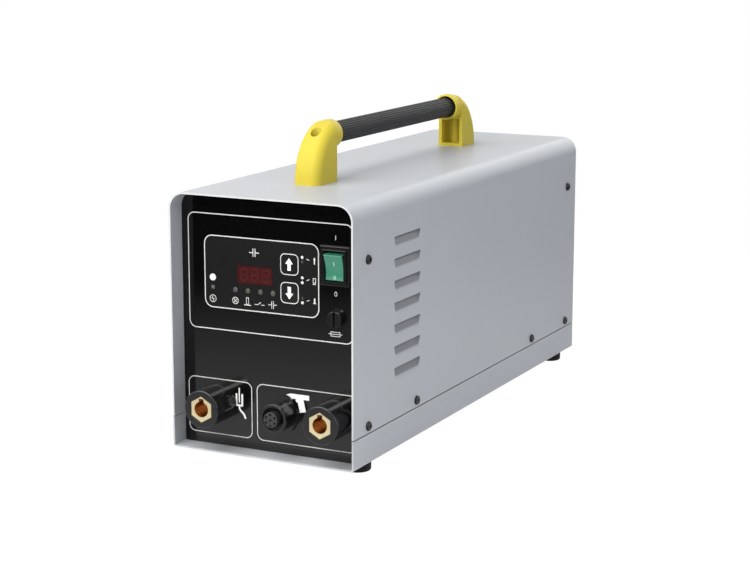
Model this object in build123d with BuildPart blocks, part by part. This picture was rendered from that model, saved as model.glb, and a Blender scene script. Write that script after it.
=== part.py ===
from build123d import *
import os
from math import atan2, cos, hypot, radians, sin, tan

# Portable stud-welding power unit: a folded sheet-metal case with a bar handle on top.
# Millimetres. X to the right, Y to the rear, Z up. The front faces -Y and the feet stand on Z = 0.
# A "height" is measured from the underside of the base tray, and a "setback" from the case's front edge.

# Case: base tray, hood and the two recessed panels
case_w = 170.0
case_d = 490.0
case_h = 216.2
sheet = 1.5
bend_r = 14.0
tray_bend_r = 2.2
seam_h = 25.2
seam_gap = 0.6
panel_gap = 0.3
front_recess = 17.0
rear_recess = 14.0
film_t = 0.5
flange_d = 15.0
flange_foot_h = 6.0
flange_top_h = 191.2

# Louvres pressed into both sides of the hood
louvre_count = 7
louvre_len = 49.5
louvre_rise = 11.0
louvre_depth = 4.2
louvre_end_r = 3.0
louvre_pitch = 18.4
louvre_setback = 74.0
louvre_top_h = 180.0

# Button-head screws that hold the hood
hood_screw_d = 4.0
hood_screw_len = 8.0
hood_screw_head_d = 8.0
hood_screw_head_h = 2.2
hood_screw_key = 2.5
screw_crown_share = 0.7
screw_key_share = 0.6
screw_low_h = 32.2
screw_high_h = 169.2
screw_front_setback = 26.0
screw_mid_setback = 117.0
screw_rear_inset = 23.0
screw_mid_rear_inset = 113.0
thread_gap = 0.1
hole_gap = 0.25

# Side rails welded inside the tray for the middle hood screws
rail_t = 1.5
rail_foot_h = 8.0
rail_h = 32.0
rail_end_gap = 3.0

# Rubber feet
foot_d = 22.0
foot_h = 9.0
foot_edge_r = 2.0
foot_inset_x = 14.5
foot_front_inset = 36.0
foot_rear_inset = 26.0
foot_screw_d = 4.0
foot_screw_head_d = 8.0
foot_screw_head_h = 2.6
foot_sink_d = 10.0
foot_sink_h = 4.0
foot_screw_grip = 6.0

# Bar handle
handle_setback = 241.0
handle_screw_span = 287.0
bracket_w = 25.0
leg_ahead = 21.0
leg_d = 35.0
elbow_flat = 1.0
bracket_edge_r = 8.0
collar_d = 24.6
collar_edge_r = 0.8
collar_reach = 12.0
collar_bore_depth = 11.0
collar_mouth_depth = 5.0
collar_mouth_gap = 1.3
grip_axis_h = 39.0
grip_d = 18.4
grip_bore_d = 12.0
grip_gap = 0.3
grip_insert = 8.0
flute_count = 26
flute_r = 0.85
pocket_w = 18.5
pocket_d = 12.0
pocket_lip = 3.0
boss_d = 9.5
handle_screw_d = 5.0
handle_screw_head_d = 8.5
handle_screw_head_h = 5.0
handle_screw_key = 4.0
handle_sink_d = 9.1
handle_seat_t = 1.5
handle_screw_tail = 9.0
nut_m5_af = 8.0
nut_m5_h = 4.0

# Mains rocker switch
switch_edge = 24.3
switch_h = 163.5
bezel_w = 27.0
bezel_h = 32.4
bezel_t = 2.2
bezel_edge_r = 0.8
rim_side = 2.3
rim_end = 1.0
rim_t = 1.2
rim_edge_r = 0.5
switch_body_w = 21.8
switch_body_h = 30.2
switch_body_d = 24.0
rocker_w = 16.4
rocker_h = 21.6
rocker_tilt = 10.0
rocker_dip = 5.5
rocker_back = 3.0
rocker_gap = 0.35
rocker_edge_r = 0.6
pivot_depth = 3.0
pivot_d = 3.0
pivot_len = 1.2
pivot_gap = 0.08
tab_w = 6.3
tab_t = 0.8
tab_len = 9.0
switch_tab_pitch = 11.0
switch_tab_rows = 14.0

# Fuse holder with a bayonet cap and a 5 by 20 glass fuse
fuse_edge = 23.3
fuse_h = 120.7
fuse_flange_d = 15.6
fuse_flange_t = 1.5
fuse_barrel_d = 12.4
fuse_barrel_len = 38.0
fuse_end_wall = 2.0
fuse_nut_af = 17.0
fuse_nut_t = 3.5
cap_d = 13.4
cap_len = 3.7
cap_gap = 0.3
cap_edge_r = 0.8
cap_plug_d = 9.8
cap_plug_len = 10.0
cap_plug_gap = 0.3
cap_slot_w = 1.8
cap_slot_d = 1.6
cap_rib_count = 20
cap_rib_r = 0.45
fuse_d = 5.2
fuse_len = 20.0
fuse_seat = 6.5
fuse_gap = 0.3
fuse_cap_len = 5.0
fuse_cap_wall = 0.3
fuse_glass_wall = 0.6
fuse_glass_gap = 0.02

# Keypad: display, two keys and indicator lamps on one board
pad_edge = 76.5
pad_h = 149.2
window_shift = -5.5
window_w = 33.0
window_tall = 14.8
window_rim = 2.0
window_rim_t = 1.2
window_gap = 0.2
board_gap = 10.0
board_t = 1.6
board_reach = 52.0
board_switch_gap = 6.3
board_rise = 0.5
board_tall = 56.0
board_post_inset = 4.0
post_af = 5.5
module_w = 37.6
module_tall = 19.0
key_shift = 26.8
key_rise = 11.9
key_pitch = 23.5
key_w = 15.0
key_tall = 14.6
key_r = 2.6
key_gap = 0.25
key_proud = 0.3
key_lip = 1.2
key_lip_t = 1.2
key_travel = 0.6
key_stem_d = 3.2
tact_w = 6.0
tact_h = 4.5
tact_engage = 0.6
tact_gap = 0.2
led_drop = 13.5
led_shift = -23.9
led_pitch = 11.8
led_count = 4
led_d = 4.4
led_proud = 0.7
led_gap = 0.25
ready_shift = -45.5
ready_drop = 4.8
ready_d = 5.8

# Welding sockets: moulded collar with a brass insert
socket_left_edge = 35.8
socket_right_edge = 23.7
socket_h = 39.0
socket_reach = 30.0
collar_ring_d = 32.0
collar_edge_r = 1.2
socket_neck_d = 25.0
socket_neck_len = 24.0
insert_af = 19.0
insert_gap = 0.2
insert_tail = 6.0
insert_sink = 0.5
insert_shank_d = 14.0
plug_bore_d = 13.1
plug_bore_len = 28.0
keyway_w = 4.6
keyway_reach = 9.0
stud_d = 10.0
stud_len = 22.0
socket_nut_af = 32.0
socket_nut_t = 5.0
stud_nut_af = 16.0
stud_nut_t = 6.0

# Seven-way control socket
control_shift = 49.1
control_h = 35.8
control_reach = 18.5
control_d = 24.6
control_edge_r = 1.0
control_flange_d = 31.0
control_flange_t = 2.5
control_flat_af = 27.6
control_mouth_d = 19.6
control_neck_d = 20.0
control_neck_len = 14.0
control_mouth = 9.0
control_nose_d = 13.0
control_nose_lead = 4.5
control_nose_edge_r = 0.5
control_shank_d = 14.0
control_insert_gap = 0.2
control_nut_af = 26.0
control_nut_t = 4.0
contact_d = 1.6
contact_hole_d = 1.9
contact_ring_d = 9.2
contact_ring_count = 6
contact_ring_turn = 30.0
contact_sink = 3.0
contact_tail = 5.0

# Rear panel: fan with its guard and the mains inlet
fan_h = 129.2
fan_hole_pitch = 82.5
fan_hole_inset = 4.75
fan_rim = 2.0
fan_t = 25.0
fan_corner_r = 5.0
fan_screw_d = 4.0
fan_screw_head_d = 7.0
fan_screw_head_h = 2.4
fan_screw_len = 18.0
fan_screw_key = 2.5
fan_hub_d = 34.0
fan_hub_t = 4.0
fan_strut_w = 4.0
fan_strut_count = 4
fan_strut_root = 1.0
rotor_hub_d = 36.0
rotor_hub_t = 17.0
rotor_gap = 1.0
rotor_tip_gap = 1.5
blade_count = 7
blade_chord = 19.0
blade_t = 1.6
blade_pitch = 38.0
shaft_d = 3.0
shaft_gap = 0.05
guard_wire = 2.0
guard_ring_count = 4
guard_first_r = 12.0
guard_ring_step = 10.0
guard_eye_d = 8.5
guard_lift = 0.2
guard_weld = 0.5
inlet_edge = 39.0
inlet_h = 46.2
inlet_flange_w = 50.0
inlet_flange_h = 22.5
inlet_flange_t = 3.0
inlet_body_w = 27.4
inlet_body_h = 19.6
inlet_body_d = 24.0
inlet_corner = 4.0
inlet_flange_r = 3.0
inlet_room_w = 24.0
inlet_room_h = 16.4
inlet_room_d = 17.0
inlet_hole_pitch = 40.0
inlet_screw_d = 3.0
inlet_screw_head_d = 5.6
inlet_screw_head_h = 2.0
inlet_screw_len = 9.0
inlet_screw_key = 2.0
pin_w = 4.0
pin_t = 2.0
pin_len = 12.0
pin_pitch = 7.0
pin_rise = 4.0
pin_tail = 8.0

# Capacitor bank
can_tall = 128.0
can_edge_r = 2.0
can_space_x = 6.0
can_space_y = 4.0
bank_setback = 194.0
tray_side_gap = 3.0
tray_margin = 4.0
tray_t = 6.0
tray_seat = 4.0
can_gap = 0.3
terminal_d = 13.0
terminal_tall = 6.0
terminal_pitch = 24.0
terminal_screw_d = 5.0
terminal_screw_head_d = 8.5
terminal_screw_head_h = 4.0
terminal_screw_len = 8.0
terminal_screw_key = 3.0
bar_t = 3.0
bar_w = 18.0
bar_end = 10.0
bar_gap = 4.0

# Discharge thyristor on its heat sink
sink_edge = 11.0
sink_setback = 66.0
sink_d = 44.0
sink_w = 124.0
sink_tall = 40.0
sink_base_t = 8.0
fin_count = 13
fin_t = 2.5
module_setback = 87.0
thyristor_w = 92.0
thyristor_d = 30.0
thyristor_tall = 30.0
thyristor_pitch = 30.0
thyristor_pad_d = 14.0
thyristor_pad_tall = 1.5

# Internal welding leads
lead_d = 9.0
lug_t = 3.0
lug_w = 18.0
lug_neck = 8.0
lead_bend_r = 20.0

# Charging transformer
transformer_setback = 346.0
toroid_d = 116.0
toroid_hole_d = 36.0
toroid_tall = 56.0
toroid_edge_r = 12.0
dish_d = 78.0
dish_t = 3.0
clamp_bolt_d = 8.0
clamp_head_af = 13.0
clamp_head_h = 5.5

# Control board above the transformer
control_board_h = 88.0
control_board_gap = 12.0
control_board_d = 112.0
control_board_t = 1.6
control_post_inset = 7.0
control_post_af = 8.0
relay_w = 28.0
relay_d = 20.0
relay_tall = 16.0
chip_w = 36.0
chip_d = 14.0
chip_tall = 5.0

# Places worked out from the sizes above
overhang = socket_reach - front_recess
case_front = overhang - (case_d + overhang) / 2
case_rear = case_front + case_d
half_w = case_w / 2
inner_half = half_w - sheet
switch_x = half_w - switch_edge
fuse_x = half_w - fuse_edge
pad_x = pad_edge - half_w
window_x = pad_x + window_shift
key_x = pad_x + key_shift
led_first_x = pad_x + led_shift
ready_x = pad_x + ready_shift
window_h = pad_h
key_up_h = pad_h + key_rise
key_down_h = key_up_h - key_pitch
led_h = pad_h - led_drop
ready_h = pad_h - ready_drop
board_left = pad_x - board_reach
board_w = switch_x - switch_body_w / 2 - board_switch_gap - board_left
board_x = board_left + board_w / 2
board_h = pad_h + board_rise
socket_left_x = socket_left_edge - half_w
socket_right_x = half_w - socket_right_edge
control_x = socket_right_x - control_shift
fan_w = fan_hole_pitch + 2 * fan_hole_inset
fan_bore_d = fan_w - 2 * fan_rim
inlet_x = inlet_edge - half_w
sink_x = half_w - sink_edge - sink_w / 2
room_half = inner_half - rail_t
tray_w = 2 * (room_half - tray_side_gap)
can_d = tray_w / 2 - tray_margin - can_space_x / 2
can_pitch_x = can_d + can_space_x
can_pitch_y = can_d + can_space_y
control_board_w = 2 * (room_half - control_board_gap)
base_z = foot_h
floor_z = base_z + sheet
top_z = base_z + case_h
film_y = case_front + front_recess
plate_y = film_y + film_t
panel_back = plate_y + sheet
rear_out = case_rear - rear_recess
rear_in = rear_out - sheet
panel_half = inner_half - panel_gap
panel_foot_z = floor_z + panel_gap
panel_top_z = top_z - sheet - panel_gap
board_y = panel_back + board_gap
foot_spots = [
    (side * (half_w - foot_inset_x), y)
    for side in (-1, 1)
    for y in (case_front + foot_front_inset, case_rear - foot_rear_inset)
]
screw_ys = (
    case_front + screw_front_setback,
    case_front + screw_mid_setback,
    case_rear - screw_mid_rear_inset,
    case_rear - screw_rear_inset,
)
end_screw_ys = (screw_ys[0], screw_ys[-1])
hood_screw_spots = [(y, base_z + screw_low_h) for y in screw_ys]
hood_screw_spots += [(y, base_z + screw_high_h) for y in end_screw_ys]


def facing(y):
    """Plane at depth y that looks out of the front: local x runs right and local y runs up."""
    return Plane.XZ.offset(-y)


def button_screw(d, length, head_d, head_h, key):
    """Round-headed socket screw on +Z, with the underside of its head at the origin."""
    with BuildPart() as screw:
        Cylinder(head_d / 2, head_h, align=(Align.CENTER, Align.CENTER, Align.MIN))
        fillet(screw.edges().group_by(Axis.Z)[-1], head_h * screw_crown_share)
        with BuildSketch(Plane.XY.offset(head_h)):
            RegularPolygon(key / 2, 6, major_radius=False)
        extrude(amount=-head_h * screw_key_share, mode=Mode.SUBTRACT)
        Cylinder(d / 2, length, align=(Align.CENTER, Align.CENTER, Align.MAX))
    return screw.part


# Outline and openings that the front panel and its printed film share
with BuildSketch() as front_shape:
    with Locations((0, panel_foot_z)):
        Rectangle(2 * panel_half, panel_top_z - panel_foot_z, align=(Align.CENTER, Align.MIN))
    fillet(front_shape.vertices().group_by(Axis.Y)[-1], bend_r - sheet - panel_gap)
    fillet(front_shape.vertices().group_by(Axis.Y)[0], tray_bend_r - sheet - panel_gap)
    with Locations((switch_x, base_z + switch_h)):
        Rectangle(switch_body_w + 2 * hole_gap, switch_body_h + 2 * hole_gap, mode=Mode.SUBTRACT)
    with Locations((fuse_x, base_z + fuse_h)):
        Circle(fuse_barrel_d / 2 + hole_gap, mode=Mode.SUBTRACT)
    with Locations((window_x, base_z + window_h)):
        Rectangle(window_w + 2 * window_gap, window_tall + 2 * window_gap, mode=Mode.SUBTRACT)
    with Locations((key_x, base_z + key_up_h), (key_x, base_z + key_down_h)):
        RectangleRounded(key_w + 2 * key_gap, key_tall + 2 * key_gap, key_r + key_gap, mode=Mode.SUBTRACT)
    with Locations(*[(led_first_x + i * led_pitch, base_z + led_h) for i in range(led_count)]):
        Circle(led_d / 2 + led_gap, mode=Mode.SUBTRACT)
    with Locations((ready_x, base_z + ready_h)):
        Circle(ready_d / 2 + led_gap, mode=Mode.SUBTRACT)
    with Locations((socket_left_x, base_z + socket_h), (socket_right_x, base_z + socket_h)):
        Circle(socket_neck_d / 2 + hole_gap, mode=Mode.SUBTRACT)
    with Locations((control_x, base_z + control_h)):
        Circle(control_neck_d / 2 + hole_gap, mode=Mode.SUBTRACT)

# Base tray: a floor with two low sides, folded from one sheet
with BuildPart() as base_tray:
    with BuildSketch(facing(case_front)) as tray_outside:
        with Locations((0, base_z)):
            Rectangle(case_w, seam_h, align=(Align.CENTER, Align.MIN))
        fillet(tray_outside.vertices().group_by(Axis.Y)[0], tray_bend_r)
    extrude(amount=-case_d)
    with BuildSketch(facing(case_front)) as tray_inside:
        with Locations((0, floor_z)):
            Rectangle(2 * inner_half, seam_h, align=(Align.CENTER, Align.MIN))
        fillet(tray_inside.vertices().group_by(Axis.Y)[0], tray_bend_r - sheet)
    extrude(amount=-case_d, mode=Mode.SUBTRACT)
    with BuildSketch(Plane.XY.offset(floor_z)):
        with Locations(*foot_spots):
            Circle(foot_screw_d / 2 + thread_gap)
        with Locations((0, case_front + transformer_setback)):
            Circle(clamp_bolt_d / 2 + thread_gap)
    extrude(amount=-sheet, mode=Mode.SUBTRACT)

# One louvre: the skin that is pressed inwards and the hollow in front of it, with the slit at the top
louvre_y = case_front + louvre_setback
with BuildPart() as louvre_hollow:
    with BuildSketch(facing(louvre_y)):
        with BuildLine():
            hollow_arc = TangentArc(
                (half_w, -louvre_rise), (half_w - louvre_depth, 0), tangent=(0, 1)
            )
            Polyline(
                hollow_arc @ 1,
                (half_w + 2 * louvre_end_r, 0),
                (half_w + 2 * louvre_end_r, -louvre_rise),
                hollow_arc @ 0,
            )
        make_face()
    extrude(amount=-louvre_len)
    fillet(louvre_hollow.edges().filter_by(GeomType.CIRCLE), louvre_end_r)
with BuildPart() as louvre_skin:
    with BuildSketch(facing(louvre_y - sheet)):
        with BuildLine():
            skin_arc = TangentArc(
                (inner_half, -louvre_rise), (inner_half - louvre_depth, 0), tangent=(0, 1)
            )
            Polyline(
                skin_arc @ 1,
                (inner_half + sheet / 2, 0),
                (inner_half + sheet / 2, -louvre_rise),
                skin_arc @ 0,
            )
        make_face()
    extrude(amount=-(louvre_len + 2 * sheet))
louvre_spots = [(0, 0, base_z + louvre_top_h - i * louvre_pitch) for i in range(louvre_count)]

# Hood: top and both sides in one folded sheet, made as its right half and mirrored
hood_foot_z = base_z + seam_h + seam_gap
handle_mid = case_front + handle_setback
handle_screw_ys = (handle_mid - handle_screw_span / 2, handle_mid + handle_screw_span / 2)
with BuildPart() as hood:
    with BuildSketch(facing(case_front)) as hood_outside:
        with Locations((0, hood_foot_z)):
            Rectangle(half_w, top_z - hood_foot_z, align=(Align.MIN, Align.MIN))
        fillet(hood_outside.vertices().group_by(Axis.Y)[-1].sort_by(Axis.X)[-1], bend_r)
    extrude(amount=-case_d)
    with BuildSketch(facing(case_front)) as hood_inside:
        with Locations((0, hood_foot_z)):
            Rectangle(inner_half, top_z - sheet - hood_foot_z, align=(Align.MIN, Align.MIN))
        fillet(hood_inside.vertices().group_by(Axis.Y)[-1].sort_by(Axis.X)[-1], bend_r - sheet)
    extrude(amount=-case_d, mode=Mode.SUBTRACT)
    with Locations(*louvre_spots):
        add(louvre_skin.part)
    with Locations(*louvre_spots):
        add(louvre_hollow.part, mode=Mode.SUBTRACT)
    with BuildSketch(Plane.YZ.offset(half_w)):
        with Locations(*hood_screw_spots):
            Circle(hood_screw_d / 2 + hole_gap)
    extrude(amount=-sheet, mode=Mode.SUBTRACT)
    mirror(about=Plane.YZ)
    with BuildSketch(Plane.XY.offset(top_z)):
        with Locations(*[(0, y) for y in handle_screw_ys]):
            Circle(handle_screw_d / 2 + hole_gap)
    extrude(amount=-sheet, mode=Mode.SUBTRACT)

# Front panel: a plate with its two sides folded back, which the foremost hood screws hold
with BuildPart() as front_panel:
    with BuildSketch(facing(plate_y)):
        add(front_shape.sketch)
    extrude(amount=-sheet)
    with BuildSketch(facing(panel_back)):
        with Locations(*[(side * (panel_half - sheet / 2), base_z + flange_foot_h) for side in (-1, 1)]):
            Rectangle(sheet, flange_top_h - flange_foot_h, align=(Align.CENTER, Align.MIN))
    extrude(amount=-flange_d)
    with BuildSketch(Plane.YZ):
        with Locations(*[(end_screw_ys[0], base_z + h) for h in (screw_low_h, screw_high_h)]):
            Circle(hood_screw_d / 2 + thread_gap)
    extrude(amount=half_w, both=True, mode=Mode.SUBTRACT)

# Printed film bonded all over the front panel
with BuildPart() as front_film:
    with BuildSketch(facing(film_y)):
        add(front_shape.sketch)
    extrude(amount=-film_t)

# Rear panel: the same kind of plate, with the fan opening and the inlet cut-out
fan_z = base_z + fan_h
inlet_z = base_z + inlet_h
fan_screw_spots = [
    (x * fan_hole_pitch / 2, fan_z + z * fan_hole_pitch / 2) for x in (-1, 1) for z in (-1, 1)
]
inlet_screw_spots = [(inlet_x + side * inlet_hole_pitch / 2, inlet_z) for side in (-1, 1)]
with BuildPart() as rear_panel:
    with BuildSketch(facing(rear_in)) as rear_shape:
        with Locations((0, panel_foot_z)):
            Rectangle(2 * panel_half, panel_top_z - panel_foot_z, align=(Align.CENTER, Align.MIN))
        fillet(rear_shape.vertices().group_by(Axis.Y)[-1], bend_r - sheet - panel_gap)
        fillet(rear_shape.vertices().group_by(Axis.Y)[0], tray_bend_r - sheet - panel_gap)
        with Locations((0, fan_z)):
            Circle(fan_bore_d / 2, mode=Mode.SUBTRACT)
        with Locations(*fan_screw_spots):
            Circle(fan_screw_d / 2 + hole_gap, mode=Mode.SUBTRACT)
        with Locations((inlet_x, inlet_z)):
            Rectangle(inlet_body_w + 2 * hole_gap, inlet_body_h + 2 * hole_gap, mode=Mode.SUBTRACT)
        with Locations(*inlet_screw_spots):
            Circle(inlet_screw_d / 2 + thread_gap, mode=Mode.SUBTRACT)
    extrude(amount=-sheet)
    with BuildSketch(facing(rear_in)):
        with Locations(*[(side * (panel_half - sheet / 2), base_z + flange_foot_h) for side in (-1, 1)]):
            Rectangle(sheet, flange_top_h - flange_foot_h, align=(Align.CENTER, Align.MIN))
    extrude(amount=flange_d)
    with BuildSketch(Plane.YZ):
        with Locations(*[(end_screw_ys[1], base_z + h) for h in (screw_low_h, screw_high_h)]):
            Circle(hood_screw_d / 2 + thread_gap)
    extrude(amount=half_w, both=True, mode=Mode.SUBTRACT)

# Side rails: flat strips welded to the tray's sides, tapped for the middle hood screws
rail_front = panel_back + flange_d + rail_end_gap
rail_rear = rear_in - flange_d - rail_end_gap
with BuildPart() as side_rails:
    with BuildSketch(Plane.YZ.offset(inner_half - rail_t)):
        with Locations((rail_front, base_z + rail_foot_h)):
            Rectangle(rail_rear - rail_front, rail_h, align=(Align.MIN, Align.MIN))
        with Locations(*[(y, base_z + screw_low_h) for y in screw_ys[1:3]]):
            Circle(hood_screw_d / 2 + thread_gap, mode=Mode.SUBTRACT)
    extrude(amount=rail_t)
    mirror(about=Plane.YZ)

# Hood screws, six a side
hood_screw = button_screw(hood_screw_d, hood_screw_len, hood_screw_head_d, hood_screw_head_h, hood_screw_key)
with BuildPart() as hood_screws:
    with Locations(*[(half_w, y, z) for y, z in hood_screw_spots]):
        add(hood_screw, rotation=(0, 90, 0))
    mirror(about=Plane.YZ)


def rubber_foot(x, y):
    """Round foot with a sunk screw hole, standing on Z = 0 at x, y."""
    with BuildPart() as foot:
        with Locations((x, y, 0)):
            Cylinder(foot_d / 2, foot_h, align=(Align.CENTER, Align.CENTER, Align.MIN))
        fillet(foot.edges().group_by(Axis.Z)[0], foot_edge_r)
        with Locations((x, y, 0)):
            Cylinder(
                foot_sink_d / 2,
                foot_sink_h,
                align=(Align.CENTER, Align.CENTER, Align.MIN),
                mode=Mode.SUBTRACT,
            )
            Cylinder(
                foot_screw_d / 2 + hole_gap,
                foot_h,
                align=(Align.CENTER, Align.CENTER, Align.MIN),
                mode=Mode.SUBTRACT,
            )
    return foot


# Rubber feet and the screws that hold them
foot_front_left, foot_rear_left, foot_front_right, foot_rear_right = [rubber_foot(x, y) for x, y in foot_spots]
foot_screw_len = foot_h - foot_sink_h + sheet + foot_screw_grip
with BuildPart() as foot_screws:
    with Locations(*[(x, y, foot_sink_h) for x, y in foot_spots]):
        Cylinder(
            foot_screw_head_d / 2, foot_screw_head_h, align=(Align.CENTER, Align.CENTER, Align.MAX)
        )
        Cylinder(foot_screw_d / 2, foot_screw_len, align=(Align.CENTER, Align.CENTER, Align.MIN))

# Front handle bracket: a leg with a pocket behind, curving over into the collar for the grip
leg_front = handle_screw_ys[0] - leg_ahead
leg_back = leg_front + leg_d
grip_z = top_z + grip_axis_h
collar_end = leg_back + collar_reach
collar_foot_z = grip_z - collar_d / 2
collar_top_z = grip_z + collar_d / 2
elbow_y = collar_end - elbow_flat
handle_seat_z = collar_foot_z + handle_seat_t
with BuildPart() as handle_bracket_front:
    with BuildSketch(Plane.YZ.offset(-bracket_w / 2)):
        with BuildLine():
            EllipticalCenterArc(
                (elbow_y, top_z), elbow_y - leg_front, collar_top_z - top_z, start_angle=90, arc_size=90
            )
            Polyline(
                (elbow_y, collar_top_z),
                (collar_end, collar_top_z),
                (collar_end, collar_foot_z),
                (leg_back, collar_foot_z),
                (leg_back, top_z),
                (leg_front, top_z),
            )
        make_face()
    extrude(amount=bracket_w)
    outer_edges = handle_bracket_front.edges().filter_by(GeomType.ELLIPSE)
    outer_edges += handle_bracket_front.edges().filter_by(Axis.Y).group_by(Axis.Z)[-1]
    fillet(outer_edges, bracket_edge_r)
    with BuildSketch(facing(collar_end)):
        with Locations((0, grip_z)):
            Rectangle(2 * collar_d, 2 * collar_d)
            Circle(collar_d / 2, mode=Mode.SUBTRACT)
    extrude(amount=collar_reach, mode=Mode.SUBTRACT)
    with BuildSketch(facing(collar_end)):
        with Locations((0, grip_z)):
            Circle(grip_d / 2 + grip_gap)
    extrude(amount=collar_bore_depth, mode=Mode.SUBTRACT)
    with BuildSketch(facing(collar_end)):
        with Locations((0, grip_z)):
            Circle(grip_d / 2 + collar_mouth_gap)
    extrude(amount=collar_mouth_depth, mode=Mode.SUBTRACT)
    collar_rim = handle_bracket_front.faces().sort_by(Axis.Y)[-1]
    fillet(collar_rim.edges().sort_by(SortBy.RADIUS)[-1], collar_edge_r)
    with BuildSketch(facing(leg_back)):
        with Locations((0, top_z + pocket_lip)):
            Rectangle(pocket_w, collar_foot_z - top_z - pocket_lip, align=(Align.CENTER, Align.MIN))
    extrude(amount=pocket_d, mode=Mode.SUBTRACT)
    with BuildSketch(Plane.XY.offset(top_z + pocket_lip)):
        with Locations((0, handle_screw_ys[0])):
            Circle(boss_d / 2)
    extrude(amount=collar_foot_z - top_z - pocket_lip)
    with BuildSketch(Plane.XY.offset(top_z)):
        with Locations((0, handle_screw_ys[0])):
            Circle(handle_screw_d / 2 + hole_gap)
    extrude(amount=handle_seat_z - top_z, mode=Mode.SUBTRACT)
    with BuildSketch(Plane.XY.offset(handle_seat_z)):
        with Locations((0, handle_screw_ys[0])):
            Circle(handle_sink_d / 2)
    extrude(amount=collar_d, mode=Mode.SUBTRACT)

# Rear handle bracket, the same piece turned round
with BuildPart() as handle_bracket_rear:
    mirror(handle_bracket_front.part, about=facing(handle_mid))

# Grip: a fluted tube held between the two collars
grip_front = collar_end - grip_insert
with BuildPart() as handle_grip:
    with BuildSketch(facing(grip_front)):
        with Locations((0, grip_z)):
            Circle(grip_d / 2)
            Circle(grip_bore_d / 2, mode=Mode.SUBTRACT)
            with PolarLocations(grip_d / 2, flute_count):
                Circle(flute_r, mode=Mode.SUBTRACT)
    extrude(amount=-2 * (handle_mid - grip_front))

# Screws down through the handle legs, and their nuts under the hood
handle_screw_len = handle_seat_z - (top_z - sheet) + handle_screw_tail
with BuildPart() as handle_screws:
    with BuildSketch(Plane.XY.offset(handle_seat_z)):
        with Locations(*[(0, y) for y in handle_screw_ys]):
            Circle(handle_screw_head_d / 2)
    extrude(amount=handle_screw_head_h)
    with BuildSketch(Plane.XY.offset(handle_seat_z + handle_screw_head_h)):
        with Locations(*[(0, y) for y in handle_screw_ys]):
            RegularPolygon(handle_screw_key / 2, 6, major_radius=False)
    extrude(amount=-handle_screw_head_h / 2, mode=Mode.SUBTRACT)
    with BuildSketch(Plane.XY.offset(handle_seat_z)):
        with Locations(*[(0, y) for y in handle_screw_ys]):
            Circle(handle_screw_d / 2)
    extrude(amount=-handle_screw_len)
with BuildPart() as handle_nuts:
    with BuildSketch(Plane.XY.offset(top_z - sheet)):
        with Locations(*[(0, y) for y in handle_screw_ys]):
            RegularPolygon(nut_m5_af / 2, 6, major_radius=False)
            Circle(handle_screw_d / 2 + thread_gap, mode=Mode.SUBTRACT)
    extrude(amount=-nut_m5_h)

# Switch housing: a framed body with a raised rim round the well that the rocker turns in
switch_z = base_z + switch_h
pivot_y = film_y + pivot_depth
rocker_nose = rocker_dip + rocker_h / 2 * tan(radians(rocker_tilt))
rocker_corner_r = hypot(rocker_h / 2, rocker_nose)
rocker_sweep = rocker_corner_r * cos(atan2(rocker_nose, rocker_h / 2) - radians(rocker_tilt))
well_h = 2 * (rocker_sweep + rocker_gap)
well_w = rocker_w + 2 * rocker_gap
rim_front = film_y - bezel_t - rim_t
well_back = pivot_y + rocker_back + rocker_h / 2 * sin(radians(rocker_tilt)) + rocker_gap
with BuildPart() as switch_housing:
    with BuildSketch(facing(film_y)):
        with Locations((switch_x, switch_z)):
            Rectangle(bezel_w, bezel_h)
    extrude(amount=bezel_t)
    fillet(switch_housing.faces().sort_by(Axis.Y)[0].edges(), bezel_edge_r)
    with BuildSketch(facing(film_y)):
        with Locations((switch_x, switch_z)):
            Rectangle(switch_body_w, switch_body_h)
    extrude(amount=-switch_body_d)
    with BuildSketch(facing(film_y - bezel_t)):
        with Locations((switch_x, switch_z)):
            Rectangle(well_w + 2 * rim_side, well_h + 2 * rim_end)
    extrude(amount=rim_t)
    fillet(switch_housing.faces().sort_by(Axis.Y)[0].edges(), rim_edge_r)
    with BuildSketch(facing(rim_front)):
        with Locations((switch_x, switch_z)):
            Rectangle(well_w, well_h)
    extrude(amount=-(well_back - rim_front), mode=Mode.SUBTRACT)
    with BuildSketch(Plane.YZ.offset(switch_x)):
        with Locations((pivot_y, switch_z)):
            Circle(pivot_d / 2 + pivot_gap)
    extrude(amount=switch_body_w / 2, both=True, mode=Mode.SUBTRACT)

# Rocker: a hollowed bar on two trunnions, at rest with its lower half pressed in
rocker_plane = Plane(
    origin=(switch_x, pivot_y, switch_z),
    x_dir=(0, cos(radians(rocker_tilt)), sin(radians(rocker_tilt))),
    z_dir=(1, 0, 0),
)
with BuildPart() as switch_rocker:
    with BuildSketch(rocker_plane):
        with BuildLine():
            ThreePointArc(
                (-rocker_nose, -rocker_h / 2), (-rocker_dip, 0), (-rocker_nose, rocker_h / 2)
            )
            Polyline(
                (-rocker_nose, rocker_h / 2),
                (rocker_back, rocker_h / 2),
                (rocker_back, -rocker_h / 2),
                (-rocker_nose, -rocker_h / 2),
            )
        make_face()
    extrude(amount=rocker_w / 2, both=True)
    fillet(switch_rocker.faces().filter_by(GeomType.CYLINDER)[0].edges(), rocker_edge_r)
    with BuildSketch(rocker_plane):
        Circle(pivot_d / 2)
    extrude(amount=rocker_w / 2 + pivot_len, both=True)

# Blade terminals behind the switch and the fuse holder
fuse_z = base_z + fuse_h
fuse_back = film_y + fuse_barrel_len
with BuildPart() as spade_tabs:
    with BuildSketch(facing(film_y + switch_body_d)):
        with Locations((switch_x, switch_z)):
            with GridLocations(switch_tab_pitch, switch_tab_rows, 2, 2):
                Rectangle(tab_t, tab_w)
    extrude(amount=-tab_len)
    with BuildSketch(facing(fuse_back)):
        with Locations((fuse_x, fuse_z)):
            Rectangle(tab_w, tab_t)
    extrude(amount=-tab_len)

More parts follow.
